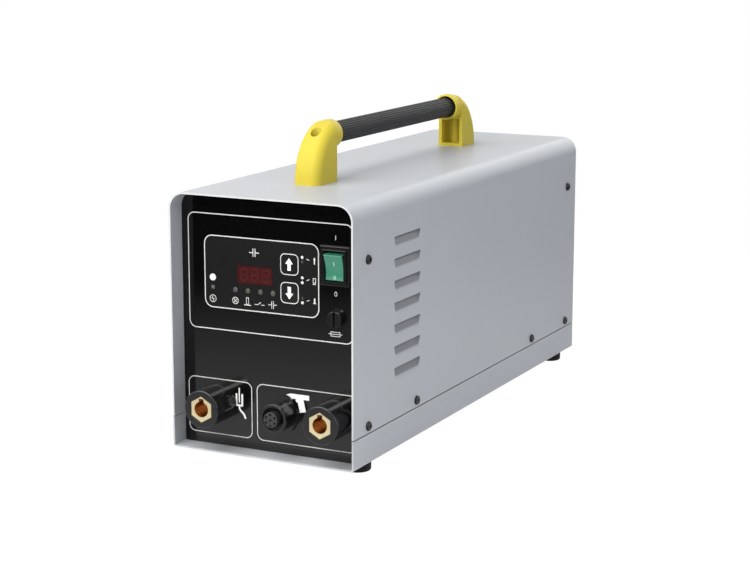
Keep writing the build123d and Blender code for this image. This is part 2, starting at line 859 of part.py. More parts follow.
# Fuse holder: a flanged barrel with a wide mouth for the cap and a narrow bore for the fuse
cap_plug_end = film_y - fuse_flange_t - cap_gap + cap_plug_len
fuse_front = cap_plug_end - fuse_seat
fuse_mouth_end = cap_plug_end + cap_gap
with BuildPart() as fuse_holder:
    with BuildSketch(facing(film_y)):
        with Locations((fuse_x, fuse_z)):
            Circle(fuse_flange_d / 2)
    extrude(amount=fuse_flange_t)
    with BuildSketch(facing(film_y)):
        with Locations((fuse_x, fuse_z)):
            Circle(fuse_barrel_d / 2)
    extrude(amount=-fuse_barrel_len)
    with BuildSketch(facing(film_y - fuse_flange_t)):
        with Locations((fuse_x, fuse_z)):
            Circle(cap_plug_d / 2 + cap_plug_gap)
    extrude(amount=-(fuse_mouth_end - film_y + fuse_flange_t), mode=Mode.SUBTRACT)
    with BuildSketch(facing(fuse_mouth_end)):
        with Locations((fuse_x, fuse_z)):
            Circle(fuse_d / 2 + fuse_gap)
    extrude(amount=-(fuse_back - fuse_end_wall - fuse_mouth_end), mode=Mode.SUBTRACT)
with BuildPart() as fuse_nut:
    with BuildSketch(facing(panel_back)):
        with Locations((fuse_x, fuse_z)):
            RegularPolygon(fuse_nut_af / 2, 6, major_radius=False)
            Circle(fuse_barrel_d / 2 + thread_gap, mode=Mode.SUBTRACT)
    extrude(amount=-fuse_nut_t)

# Fuse cap: a ribbed knob with a driver slot, on a plug that grips the front of the fuse
cap_back = film_y - fuse_flange_t - cap_gap
with BuildPart() as fuse_cap:
    with BuildSketch(facing(cap_back)):
        with Locations((fuse_x, fuse_z)):
            Circle(cap_d / 2)
    extrude(amount=cap_len)
    fillet(fuse_cap.edges().group_by(Axis.Y)[0], cap_edge_r)
    with BuildSketch(facing(cap_back)):
        with Locations((fuse_x, fuse_z)):
            with PolarLocations(cap_d / 2, cap_rib_count):
                Circle(cap_rib_r)
    extrude(amount=cap_len, mode=Mode.SUBTRACT)
    with BuildSketch(facing(cap_back - cap_len)):
        with Locations((fuse_x, fuse_z)):
            Rectangle(cap_slot_w, cap_d)
    extrude(amount=-cap_slot_d, mode=Mode.SUBTRACT)
    with BuildSketch(facing(cap_back)):
        with Locations((fuse_x, fuse_z)):
            Circle(cap_plug_d / 2)
    extrude(amount=-cap_plug_len)
    with BuildSketch(facing(cap_plug_end)):
        with Locations((fuse_x, fuse_z)):
            Circle(fuse_d / 2 + pivot_gap)
    extrude(amount=fuse_seat, mode=Mode.SUBTRACT)

# Glass fuse: a tube with a metal cup on each end
with BuildPart() as fuse_ends:
    with BuildSketch(facing(fuse_front)):
        with Locations((fuse_x, fuse_z)):
            Circle(fuse_d / 2)
    extrude(amount=-fuse_cap_len)
    with BuildSketch(facing(fuse_front + fuse_cap_wall)):
        with Locations((fuse_x, fuse_z)):
            Circle(fuse_d / 2 - fuse_cap_wall)
    extrude(amount=-fuse_cap_len, mode=Mode.SUBTRACT)
    mirror(about=facing(fuse_front + fuse_len / 2))
with BuildPart() as fuse_glass:
    with BuildSketch(facing(fuse_front + fuse_cap_wall)):
        with Locations((fuse_x, fuse_z)):
            Circle(fuse_d / 2 - fuse_cap_wall - fuse_glass_gap)
            Circle(fuse_d / 2 - fuse_cap_wall - fuse_glass_wall, mode=Mode.SUBTRACT)
    extrude(amount=-(fuse_len - 2 * fuse_cap_wall))

# Display window: a tinted plate flush with the film, with a rim behind the panel
with BuildPart() as display_window:
    with BuildSketch(facing(film_y)):
        with Locations((window_x, base_z + window_h)):
            Rectangle(window_w, window_tall)
    extrude(amount=-(film_t + sheet))
    with BuildSketch(facing(panel_back)):
        with Locations((window_x, base_z + window_h)):
            Rectangle(window_w + 2 * window_rim, window_tall + 2 * window_rim)
    extrude(amount=-window_rim_t)

# Seven-segment display block on the board
with BuildPart() as display_module:
    with BuildSketch(facing(board_y)):
        with Locations((window_x, base_z + window_h)):
            Rectangle(module_w, module_tall)
    extrude(amount=board_gap - window_rim_t - window_gap)

# Display board and the posts that carry the boards
board_post_spots = [
    (
        board_x + x * (board_w / 2 - board_post_inset),
        base_z + board_h + z * (board_tall / 2 - board_post_inset),
    )
    for x in (-1, 1)
    for z in (-1, 1)
]
with BuildPart() as display_board:
    with BuildSketch(facing(board_y)):
        with Locations((board_x, base_z + board_h)):
            Rectangle(board_w, board_tall)
    extrude(amount=-board_t)


def panel_key(height):
    """Push key with a lip behind the panel and a stem that reaches into its switch."""
    with BuildPart() as key:
        with BuildSketch(facing(film_y - key_proud)):
            with Locations((key_x, base_z + height)):
                RectangleRounded(key_w, key_tall, key_r)
        extrude(amount=-(key_proud + film_t + sheet))
        with BuildSketch(facing(panel_back)):
            with Locations((key_x, base_z + height)):
                RectangleRounded(key_w + 2 * key_lip, key_tall + 2 * key_lip, key_r + key_lip)
        extrude(amount=-key_lip_t)
        with BuildSketch(facing(panel_back + key_lip_t)):
            with Locations((key_x, base_z + height)):
                Circle(key_stem_d / 2)
        extrude(amount=-(board_gap - tact_h - key_lip_t + tact_engage))
    return key


# Keys and the switches behind them
key_up = panel_key(key_up_h)
key_down = panel_key(key_down_h)
with BuildPart() as key_switches:
    with BuildSketch(facing(board_y)):
        with Locations((key_x, base_z + key_up_h), (key_x, base_z + key_down_h)):
            Rectangle(tact_w, tact_w)
    extrude(amount=tact_h)
    with BuildSketch(facing(board_y - tact_h)):
        with Locations((key_x, base_z + key_up_h), (key_x, base_z + key_down_h)):
            Circle(key_stem_d / 2 + led_gap)
    extrude(amount=-(tact_engage + key_travel + tact_gap), mode=Mode.SUBTRACT)


def lamp(d, spots):
    """Round-topped indicator lamps that stand on the board and show through the film."""
    with BuildPart() as lamps:
        with BuildSketch(facing(board_y)):
            with Locations(*spots):
                Circle(d / 2)
        extrude(amount=board_y - film_y + led_proud)
        fillet(lamps.edges().group_by(Axis.Y)[0], led_proud)
    return lamps


# Indicator lamps
led_ready = lamp(ready_d, [(ready_x, base_z + ready_h)])
led_row = lamp(led_d, [(led_first_x + i * led_pitch, base_z + led_h) for i in range(led_count)])


def weld_socket(x):
    """Moulded collar with a six-sided hole for its insert and a threaded neck through the panel."""
    with BuildPart() as socket:
        with BuildSketch(facing(film_y)):
            with Locations((x, socket_z)):
                Circle(collar_ring_d / 2)
        extrude(amount=socket_reach)
        fillet(socket.edges().group_by(Axis.Y)[0], collar_edge_r)
        with BuildSketch(facing(film_y)):
            with Locations((x, socket_z)):
                Circle(socket_neck_d / 2)
        extrude(amount=-socket_neck_len)
        with BuildSketch(facing(film_y - socket_reach)):
            with Locations((x, socket_z)):
                RegularPolygon(insert_af / 2 + insert_gap, 6, major_radius=False, rotation=30)
        extrude(amount=-(socket_reach + insert_tail), mode=Mode.SUBTRACT)
        with BuildSketch(facing(film_y)):
            with Locations((x, socket_z)):
                Circle(insert_shank_d / 2 + insert_gap)
        extrude(amount=-socket_neck_len, mode=Mode.SUBTRACT)
    return socket


def weld_insert(x):
    """Brass insert: hexagon with the plug bore and its keyway, then a shank and a threaded stud."""
    insert_front = film_y - socket_reach + insert_sink
    with BuildPart() as insert:
        with BuildSketch(facing(insert_front)):
            with Locations((x, socket_z)):
                RegularPolygon(insert_af / 2, 6, major_radius=False, rotation=30)
        extrude(amount=-(film_y + insert_tail - insert_front))
        with BuildSketch(facing(film_y + insert_tail)):
            with Locations((x, socket_z)):
                Circle(insert_shank_d / 2)
        extrude(amount=-(socket_neck_len - insert_tail))
        with BuildSketch(facing(film_y + socket_neck_len)):
            with Locations((x, socket_z)):
                Circle(stud_d / 2)
        extrude(amount=-stud_len)
        with BuildSketch(facing(insert_front)):
            with Locations((x, socket_z)):
                Circle(plug_bore_d / 2)
                Rectangle(keyway_w, keyway_reach, align=(Align.CENTER, Align.MIN))
        extrude(amount=-plug_bore_len, mode=Mode.SUBTRACT)
    return insert


# Welding sockets
socket_z = base_z + socket_h
weld_socket_left = weld_socket(socket_left_x)
weld_socket_right = weld_socket(socket_right_x)
weld_insert_left = weld_insert(socket_left_x)
weld_insert_right = weld_insert(socket_right_x)

# Control socket: faceted flange and barrel, and a moulded insert that stands out of it with seven contacts
control_z = base_z + control_h
control_front = film_y - control_reach
control_floor = control_front + control_mouth
control_face = control_front - control_nose_lead
control_back = film_y + control_neck_len
with BuildPart() as control_socket:
    with BuildSketch(facing(film_y)):
        with Locations((control_x, control_z)):
            Circle(control_flange_d / 2)
            RegularPolygon(control_flat_af / 2, 6, major_radius=False, mode=Mode.INTERSECT)
    extrude(amount=control_flange_t)
    with BuildSketch(facing(film_y)):
        with Locations((control_x, control_z)):
            Circle(control_d / 2)
    extrude(amount=control_reach)
    fillet(control_socket.edges().group_by(Axis.Y)[0], control_edge_r)
    with BuildSketch(facing(film_y)):
        with Locations((control_x, control_z)):
            Circle(control_neck_d / 2)
    extrude(amount=-control_neck_len)
    with BuildSketch(facing(control_front)):
        with Locations((control_x, control_z)):
            Circle(control_mouth_d / 2)
    extrude(amount=-control_mouth, mode=Mode.SUBTRACT)
    with BuildSketch(facing(control_floor)):
        with Locations((control_x, control_z)):
            Circle(control_shank_d / 2 + control_insert_gap)
    extrude(amount=-(control_back - control_floor), mode=Mode.SUBTRACT)
with BuildPart() as control_insert:
    with BuildSketch(facing(control_floor)):
        with Locations((control_x, control_z)):
            Circle(control_nose_d / 2)
    extrude(amount=control_floor - control_face)
    fillet(control_insert.edges().group_by(Axis.Y)[0], control_nose_edge_r)
    with BuildSketch(facing(control_floor)):
        with Locations((control_x, control_z)):
            Circle(control_shank_d / 2)
    extrude(amount=-(control_back - control_floor))
    with BuildSketch(facing(control_face)):
        with Locations((control_x, control_z)):
            Circle(contact_hole_d / 2)
            with PolarLocations(contact_ring_d / 2, contact_ring_count, contact_ring_turn):
                Circle(contact_hole_d / 2)
    extrude(amount=-(control_back - control_face), mode=Mode.SUBTRACT)
with BuildPart() as control_contacts:
    with BuildSketch(facing(control_face + contact_sink)):
        with Locations((control_x, control_z)):
            Circle(contact_d / 2)
            with PolarLocations(contact_ring_d / 2, contact_ring_count, contact_ring_turn):
                Circle(contact_d / 2)
    extrude(amount=-(control_back + contact_tail - control_face - contact_sink))

# Nuts behind the panel: one on each socket neck, and one on each stud over the lead's lug
stud_nut_y = film_y + socket_neck_len + lug_t
with BuildPart() as socket_nuts:
    with BuildSketch(facing(panel_back)):
        with Locations((socket_left_x, socket_z), (socket_right_x, socket_z)):
            RegularPolygon(socket_nut_af / 2, 6, major_radius=False)
            Circle(socket_neck_d / 2 + thread_gap, mode=Mode.SUBTRACT)
    extrude(amount=-socket_nut_t)
    with BuildSketch(facing(panel_back)):
        with Locations((control_x, control_z)):
            RegularPolygon(control_nut_af / 2, 6, major_radius=False)
            Circle(control_neck_d / 2 + thread_gap, mode=Mode.SUBTRACT)
    extrude(amount=-control_nut_t)
    with BuildSketch(facing(stud_nut_y)):
        with Locations((socket_left_x, socket_z), (socket_right_x, socket_z)):
            RegularPolygon(stud_nut_af / 2, 6, major_radius=False)
            Circle(stud_d / 2 + thread_gap, mode=Mode.SUBTRACT)
    extrude(amount=-stud_nut_t)

# Fan frame: a square moulding with its hub on struts
with BuildPart() as fan_frame:
    with BuildSketch(facing(rear_in)):
        with Locations((0, fan_z)):
            RectangleRounded(fan_w, fan_w, fan_corner_r)
            Circle(fan_bore_d / 2, mode=Mode.SUBTRACT)
        with Locations(*fan_screw_spots):
            Circle(fan_screw_d / 2 + thread_gap, mode=Mode.SUBTRACT)
    extrude(amount=fan_t)
    with BuildSketch(facing(rear_in)):
        with Locations((0, fan_z)):
            Circle(fan_hub_d / 2)
            with PolarLocations(0, fan_strut_count):
                Rectangle(fan_bore_d / 2 + fan_strut_root, fan_strut_w, align=(Align.MIN, Align.CENTER))
    extrude(amount=fan_hub_t)
    with BuildSketch(facing(rear_in - fan_hub_t)):
        with Locations((0, fan_z)):
            Circle(shaft_d / 2 + shaft_gap)
    extrude(amount=-(fan_hub_t - rotor_gap), mode=Mode.SUBTRACT)

# Fan rotor: hub, pitched blades and the shaft that runs in the frame's hub
rotor_y = rear_in - fan_hub_t - rotor_gap
blade_root = rotor_hub_d / 2 - blade_t
blade_len = fan_bore_d / 2 - rotor_tip_gap - blade_root
blade_planes = []
for i in range(blade_count):
    turn = radians(360 * i / blade_count)
    outward = Vector(cos(turn), 0, sin(turn))
    across = Vector(-sin(turn), 0, cos(turn))
    chord = across * cos(radians(blade_pitch)) + Vector(0, 1, 0) * sin(radians(blade_pitch))
    centre = Vector(0, rotor_y - rotor_hub_t / 2, fan_z) + outward * blade_root
    blade_planes.append(Plane(origin=centre, x_dir=chord, z_dir=outward))
with BuildPart() as fan_rotor:
    with BuildSketch(facing(rotor_y)):
        with Locations((0, fan_z)):
            Circle(rotor_hub_d / 2)
    extrude(amount=rotor_hub_t)
    with BuildSketch(*blade_planes):
        Rectangle(blade_chord, blade_t)
    extrude(amount=blade_len)
    with BuildSketch(facing(rotor_y)):
        with Locations((0, fan_z)):
            Circle(shaft_d / 2)
    extrude(amount=-(fan_hub_t - shaft_gap))

# Fan guard: wire rings on four spokes that end in eyes under the fan screws
eye_t = guard_wire + guard_lift
spoke_y = rear_out + guard_lift + guard_wire / 2
ring_y = spoke_y + guard_wire - guard_weld
spoke_reach = fan_hole_pitch / 2 * 2**0.5
with BuildPart() as fan_guard:
    with Locations((0, ring_y, fan_z)):
        for i in range(guard_ring_count):
            Torus(guard_first_r + i * guard_ring_step, guard_wire / 2, rotation=(90, 0, 0))
    spoke_planes = []
    for x, z in fan_screw_spots:
        outward = Vector(x, 0, z - fan_z).normalized()
        start = Vector(0, spoke_y, fan_z) + outward * (guard_first_r - guard_wire)
        spoke_planes.append(Plane(origin=start, z_dir=outward))
    with BuildSketch(*spoke_planes):
        Circle(guard_wire / 2)
    extrude(amount=spoke_reach - guard_eye_d / 2 - guard_first_r + 2 * guard_wire)
    with BuildSketch(facing(rear_out)):
        with Locations(*fan_screw_spots):
            Circle(guard_eye_d / 2)
    extrude(amount=-eye_t)
    with BuildSketch(facing(rear_out)):
        with Locations(*fan_screw_spots):
            Circle(fan_screw_d / 2 + hole_gap)
    extrude(amount=-2 * eye_t, mode=Mode.SUBTRACT)

# Mains inlet: a flanged moulding with a recess that has two corners cut off
room_back = rear_out + inlet_flange_t - inlet_room_d
pin_spots = [(inlet_x - pin_pitch, inlet_z), (inlet_x + pin_pitch, inlet_z), (inlet_x, inlet_z + pin_rise)]
with BuildPart() as mains_inlet:
    with BuildSketch(facing(rear_out)):
        with Locations((inlet_x, inlet_z)):
            RectangleRounded(inlet_flange_w, inlet_flange_h, inlet_flange_r)
        with Locations(*inlet_screw_spots):
            Circle(inlet_screw_d / 2 + hole_gap, mode=Mode.SUBTRACT)
    extrude(amount=-inlet_flange_t)
    with BuildSketch(facing(rear_out)):
        with Locations((inlet_x, inlet_z)):
            Rectangle(inlet_body_w, inlet_body_h)
    extrude(amount=inlet_body_d)
    with BuildSketch(facing(room_back)) as inlet_room:
        with Locations((inlet_x, inlet_z)):
            Rectangle(inlet_room_w, inlet_room_h)
        chamfer(inlet_room.vertices().group_by(Axis.Y)[-1], inlet_corner)
    extrude(amount=-inlet_room_d, mode=Mode.SUBTRACT)
    with BuildSketch(facing(room_back)):
        with Locations(*pin_spots):
            Rectangle(pin_t + 2 * thread_gap, pin_w + 2 * thread_gap)
    extrude(amount=inlet_body_d, mode=Mode.SUBTRACT)
with BuildPart() as inlet_pins:
    with BuildSketch(facing(room_back + pin_len)):
        with Locations(*pin_spots):
            Rectangle(pin_t, pin_w)
    extrude(amount=room_back + pin_len - (rear_out - inlet_body_d - pin_tail))

# Screws on the rear panel: four through the guard into the fan, two on the inlet
fan_screw = button_screw(fan_screw_d, fan_screw_len, fan_screw_head_d, fan_screw_head_h, fan_screw_key)
inlet_screw = button_screw(
    inlet_screw_d, inlet_screw_len, inlet_screw_head_d, inlet_screw_head_h, inlet_screw_key
)
with BuildPart() as rear_screws:
    with Locations(*[(x, rear_out + eye_t, z) for x, z in fan_screw_spots]):
        add(fan_screw, rotation=(-90, 0, 0))
    with Locations(*[(x, rear_out + inlet_flange_t, z) for x, z in inlet_screw_spots]):
        add(inlet_screw, rotation=(-90, 0, 0))

# Capacitor bank: four cans in a seat board, with two terminals on each can
bank_y = case_front + bank_setback
can_foot_z = floor_z + tray_t - tray_seat
can_top_z = can_foot_z + can_tall
bar_z = can_top_z + terminal_tall
can_spots = [(x * can_pitch_x / 2, bank_y + y * can_pitch_y / 2) for x in (-1, 1) for y in (-1, 1)]
inner_x = can_pitch_x / 2 - terminal_pitch / 2
outer_x = can_pitch_x / 2 + terminal_pitch / 2
row_ys = (bank_y - can_pitch_y / 2, bank_y + can_pitch_y / 2)
inner_spots = [(side * inner_x, y) for side in (-1, 1) for y in row_ys]
outer_spots = [(side * outer_x, y) for side in (-1, 1) for y in row_ys]
with BuildPart() as capacitor_tray:
    with BuildSketch(Plane.XY.offset(floor_z)):
        with Locations((0, bank_y)):
            Rectangle(tray_w, can_pitch_y + can_d + 2 * tray_margin)
    extrude(amount=tray_t)
    with BuildSketch(Plane.XY.offset(can_foot_z)):
        with Locations(*can_spots):
            Circle(can_d / 2 + can_gap)
    extrude(amount=tray_seat, mode=Mode.SUBTRACT)
with BuildPart() as capacitors:
    with BuildSketch(Plane.XY.offset(can_foot_z)):
        with Locations(*can_spots):
            Circle(can_d / 2)
    extrude(amount=can_tall)
    fillet(capacitors.edges().filter_by(GeomType.CIRCLE), can_edge_r)
    with BuildSketch(Plane.XY.offset(can_top_z)):
        with Locations(*inner_spots, *outer_spots):
            Circle(terminal_d / 2)
    extrude(amount=terminal_tall)
    with BuildSketch(Plane.XY.offset(bar_z)):
        with Locations(*inner_spots, *outer_spots):
            Circle(terminal_screw_d / 2 + thread_gap)
    extrude(amount=-(terminal_tall + terminal_screw_len), mode=Mode.SUBTRACT)

# Positive bar: a plate over the inner terminals, with a leg down to the thyristor
thyristor_x = socket_right_x - thyristor_pitch
thyristor_y = case_front + module_setback
thyristor_z = floor_z + sink_tall
thyristor_pad_z = thyristor_z + thyristor_tall + thyristor_pad_tall
feed_x = thyristor_x - thyristor_pitch
feed_y = thyristor_y + bar_w / 2
with BuildPart() as busbar_positive:
    with BuildSketch(Plane.XY.offset(bar_z)):
        with Locations((0, bank_y)):
            Rectangle(2 * (inner_x + bar_end), can_pitch_y + 2 * bar_end)
        with Locations(*inner_spots):
            Circle(terminal_screw_d / 2 + hole_gap, mode=Mode.SUBTRACT)
    extrude(amount=bar_t)
    with BuildSketch(Plane.YZ.offset(feed_x)):
        with BuildLine():
            Polyline(
                (row_ys[0] - bar_end, bar_z),
                (row_ys[0] - bar_end, bar_z + bar_t),
                (feed_y, bar_z + bar_t),
                (feed_y, thyristor_pad_z + bar_t),
                (feed_y - bar_w, thyristor_pad_z + bar_t),
                (feed_y - bar_w, thyristor_pad_z),
                (feed_y + bar_t, thyristor_pad_z),
                (feed_y + bar_t, bar_z),
                close=True,
            )
        make_face()
    extrude(amount=bar_w / 2, both=True)
    with BuildSketch(Plane.XY.offset(thyristor_pad_z)):
        with Locations((feed_x, thyristor_y)):
            Circle(terminal_screw_d / 2 + hole_gap)
    extrude(amount=bar_t, mode=Mode.SUBTRACT)

# Negative bar: two strips over the outer terminals, joined behind the plate
lead_bar_front = row_ys[0] - bar_end - bar_w
lead_hole_y = lead_bar_front + bar_w / 2
bar_rear = row_ys[1] + bar_end + bar_gap + bar_w
with BuildPart() as busbar_negative:
    with BuildSketch(Plane.XY.offset(bar_z)):
        with Locations((-outer_x, lead_bar_front)):
            Rectangle(bar_w, bar_rear - lead_bar_front, align=(Align.CENTER, Align.MIN))
        with Locations((outer_x, row_ys[0] - bar_end)):
            Rectangle(bar_w, bar_rear - row_ys[0] + bar_end, align=(Align.CENTER, Align.MIN))
        with Locations((0, bar_rear)):
            Rectangle(2 * outer_x, bar_w, align=(Align.CENTER, Align.MAX))
        with Locations(*outer_spots, (socket_left_x, lead_hole_y)):
            Circle(terminal_screw_d / 2 + hole_gap, mode=Mode.SUBTRACT)
    extrude(amount=bar_t)

# Heat sink: a plate on a row of fins
with BuildPart() as heatsink:
    with BuildSketch(facing(case_front + sink_setback)):
        with Locations((sink_x, thyristor_z)):
            Rectangle(sink_w, sink_base_t, align=(Align.CENTER, Align.MAX))
        with Locations((sink_x, floor_z)):
            with GridLocations((sink_w - fin_t) / (fin_count - 1), 0, fin_count, 1):
                Rectangle(fin_t, sink_tall - sink_base_t, align=(Align.CENTER, Align.MIN))
    extrude(amount=-sink_d)

# Thyristor module with three raised terminals
thyristor_pads = [(thyristor_x + i * thyristor_pitch, thyristor_y) for i in (-1, 0, 1)]
with BuildPart() as thyristor:
    with BuildSketch(Plane.XY.offset(thyristor_z)):
        with Locations((thyristor_x, thyristor_y)):
            Rectangle(thyristor_w, thyristor_d)
    extrude(amount=thyristor_tall)
    with BuildSketch(Plane.XY.offset(thyristor_z + thyristor_tall)):
        with Locations(*thyristor_pads):
            Circle(thyristor_pad_d / 2)
    extrude(amount=thyristor_pad_tall)
    with BuildSketch(Plane.XY.offset(thyristor_pad_z)):
        with Locations(*thyristor_pads):
            Circle(terminal_screw_d / 2 + thread_gap)
    extrude(amount=-(thyristor_pad_tall + terminal_screw_len), mode=Mode.SUBTRACT)


def weld_lead(x, seat_front, seat_z, hole_y):
    """Lead from a socket's stud: a lug on the stud, a rising run, one bend and a lug on a flat seat."""
    stud_lug_y = film_y + socket_neck_len
    riser_y = stud_lug_y + lug_t / 2
    riser_z = socket_z + lug_w / 2 + lug_neck
    run_z = seat_z + lug_t / 2
    run_end = seat_front - lug_neck / 2
    with BuildPart() as lead:
        with BuildSketch(facing(stud_lug_y)):
            with Locations((x, socket_z)):
                Circle(lug_w / 2)
                Rectangle(lug_w, lug_w / 2 + lug_neck, align=(Align.CENTER, Align.MIN))
                Circle(stud_d / 2 + hole_gap, mode=Mode.SUBTRACT)
        extrude(amount=-lug_t)
        with BuildSketch(Plane.XY.offset(seat_z)):
            with Locations((x, seat_front - lug_neck)):
                Rectangle(lug_w, hole_y - seat_front + lug_neck, align=(Align.CENTER, Align.MIN))
            with Locations((x, hole_y)):
                Circle(lug_w / 2)
                Circle(terminal_screw_d / 2 + hole_gap, mode=Mode.SUBTRACT)
        extrude(amount=lug_t)
        with BuildLine() as route:
            FilletPolyline(
                (x, riser_y, riser_z - lug_neck / 2),
                (x, riser_y, run_z),
                (x, run_end, run_z),
                radius=lead_bend_r,
            )
        with BuildSketch(Plane(origin=route.line @ 0, z_dir=route.line % 0)):
            Circle(lead_d / 2)
        sweep(path=route.line)
    return lead


# Welding leads: the left one from the negative bar, the right one from the thyristor
weld_lead_left = weld_lead(socket_left_x, lead_bar_front, bar_z + bar_t, lead_hole_y)
weld_lead_right = weld_lead(socket_right_x, thyristor_y - thyristor_d / 2, thyristor_pad_z, thyristor_y)

# Screws of the bars and lugs, with a nut under the left lead's lug
bar_screw = button_screw(
    terminal_screw_d,
    bar_t + terminal_screw_len,
    terminal_screw_head_d,
    terminal_screw_head_h,
    terminal_screw_key,
)
bar_top_z = bar_z + bar_t
with BuildPart() as busbar_screws:
    with Locations(*[(x, y, bar_top_z) for x, y in inner_spots + outer_spots]):
        add(bar_screw)
    with Locations((feed_x, thyristor_y, thyristor_pad_z + bar_t)):
        add(bar_screw)
    with Locations((socket_right_x, thyristor_y, thyristor_pad_z + lug_t)):
        add(bar_screw)
    with Locations((socket_left_x, lead_hole_y, bar_top_z + lug_t)):
        add(bar_screw)
    with BuildSketch(Plane.XY.offset(bar_z)):
        with Locations((socket_left_x, lead_hole_y)):
            RegularPolygon(nut_m5_af / 2, 6, major_radius=False)
            Circle(terminal_screw_d / 2 + thread_gap, mode=Mode.SUBTRACT)
    extrude(amount=-nut_m5_h)

# Charging transformer: a wound ring under a dished washer and one bolt
transformer_y = case_front + transformer_setback
toroid_top_z = floor_z + toroid_tall
ring_w = (toroid_d - toroid_hole_d) / 2
with BuildPart() as transformer:
    with BuildSketch(Plane(origin=(0, transformer_y, floor_z), x_dir=(1, 0, 0), z_dir=(0, -1, 0))):
        with Locations((toroid_hole_d / 2 + ring_w / 2, toroid_tall / 2)):
            RectangleRounded(ring_w, toroid_tall, toroid_edge_r)
    revolve(axis=Axis((0, transformer_y, 0), (0, 0, 1)))
with BuildPart() as transformer_clamp:
    with BuildSketch(Plane.XY.offset(toroid_top_z)):
        with Locations((0, transformer_y)):
            Circle(dish_d / 2)
            Circle(clamp_bolt_d / 2 + hole_gap, mode=Mode.SUBTRACT)
    extrude(amount=dish_t)
    with BuildSketch(Plane.XY.offset(toroid_top_z + dish_t)):
        with Locations((0, transformer_y)):
            RegularPolygon(clamp_head_af / 2, 6, major_radius=False)
    extrude(amount=clamp_head_h)
    with BuildSketch(Plane.XY.offset(toroid_top_z + dish_t)):
        with Locations((0, transformer_y)):
            Circle(clamp_bolt_d / 2)
    extrude(amount=-(dish_t + toroid_tall + sheet))

# Control board on four posts above the transformer
control_board_z = base_z + control_board_h
control_post_w = control_board_w - 2 * control_post_inset
control_post_d = control_board_d - 2 * control_post_inset
with BuildPart() as control_board:
    with BuildSketch(Plane.XY.offset(control_board_z)):
        with Locations((0, transformer_y)):
            Rectangle(control_board_w, control_board_d)
    extrude(amount=control_board_t)
    with BuildSketch(Plane.XY.offset(control_board_z + control_board_t)):
        with Locations((-control_board_w / 4, transformer_y)):
            with GridLocations(0, 2 * relay_d, 1, 2):
                Rectangle(relay_w, relay_d)
    extrude(amount=relay_tall)
    with BuildSketch(Plane.XY.offset(control_board_z + control_board_t)):
        with Locations((control_board_w / 4, transformer_y)):
            with GridLocations(0, 2 * chip_d, 1, 3):
                Rectangle(chip_w, chip_d)
    extrude(amount=chip_tall)
with BuildPart() as board_standoffs:
    with BuildSketch(facing(panel_back)):
        with Locations(*board_post_spots):
            RegularPolygon(post_af / 2, 6, major_radius=False)
    extrude(amount=-board_gap)
    with BuildSketch(Plane.XY.offset(floor_z)):
        with Locations((0, transformer_y)):
            with GridLocations(control_post_w, control_post_d, 2, 2):
                RegularPolygon(control_post_af / 2, 6, major_radius=False)
    extrude(amount=control_board_z - floor_z)

pieces = {
    "base_tray": base_tray,
    "hood": hood,
    "front_panel": front_panel,
    "front_film": front_film,
    "rear_panel": rear_panel,
    "side_rails": side_rails,
    "hood_screws": hood_screws,
    "foot_front_left": foot_front_left,
    "foot_front_right": foot_front_right,
    "foot_rear_left": foot_rear_left,
    "foot_rear_right": foot_rear_right,
    "foot_screws": foot_screws,
    "handle_bracket_front": handle_bracket_front,
    "handle_bracket_rear": handle_bracket_rear,
    "handle_grip": handle_grip,
    "handle_screws": handle_screws,
    "handle_nuts": handle_nuts,
    "switch_housing": switch_housing,
    "switch_rocker": switch_rocker,
    "spade_tabs": spade_tabs,
    "fuse_holder": fuse_holder,
    "fuse_nut": fuse_nut,
    "fuse_cap": fuse_cap,
    "fuse_glass": fuse_glass,
    "fuse_ends": fuse_ends,
    "key_up": key_up,
    "key_down": key_down,
    "key_switches": key_switches,
    "display_window": display_window,
    "display_module": display_module,
    "led_ready": led_ready,
    "led_row": led_row,
    "display_board": display_board,
    "board_standoffs": board_standoffs,
    "weld_socket_left": weld_socket_left,
    "weld_socket_right": weld_socket_right,
    "weld_insert_left": weld_insert_left,
    "weld_insert_right": weld_insert_right,
    "socket_nuts": socket_nuts,
    "control_socket": control_socket,
    "control_insert": control_insert,
    "control_contacts": control_contacts,
    "fan_frame": fan_frame,
    "fan_rotor": fan_rotor,
    "fan_guard": fan_guard,
    "rear_screws": rear_screws,
    "mains_inlet": mains_inlet,
    "inlet_pins": inlet_pins,
    "capacitor_tray": capacitor_tray,
    "capacitors": capacitors,
    "busbar_positive": busbar_positive,
    "busbar_negative": busbar_negative,
    "busbar_screws": busbar_screws,
    "heatsink": heatsink,
    "thyristor": thyristor,
    "weld_lead_left": weld_lead_left,
    "weld_lead_right": weld_lead_right,
    "transformer": transformer,
    "transformer_clamp": transformer_clamp,
    "control_board": control_board,
}
os.makedirs("parts", exist_ok=True)
for label, piece in pieces.items():
    piece.part.label = label
    export_step(piece.part, f"parts/{label}.step")
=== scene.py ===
from math import radians

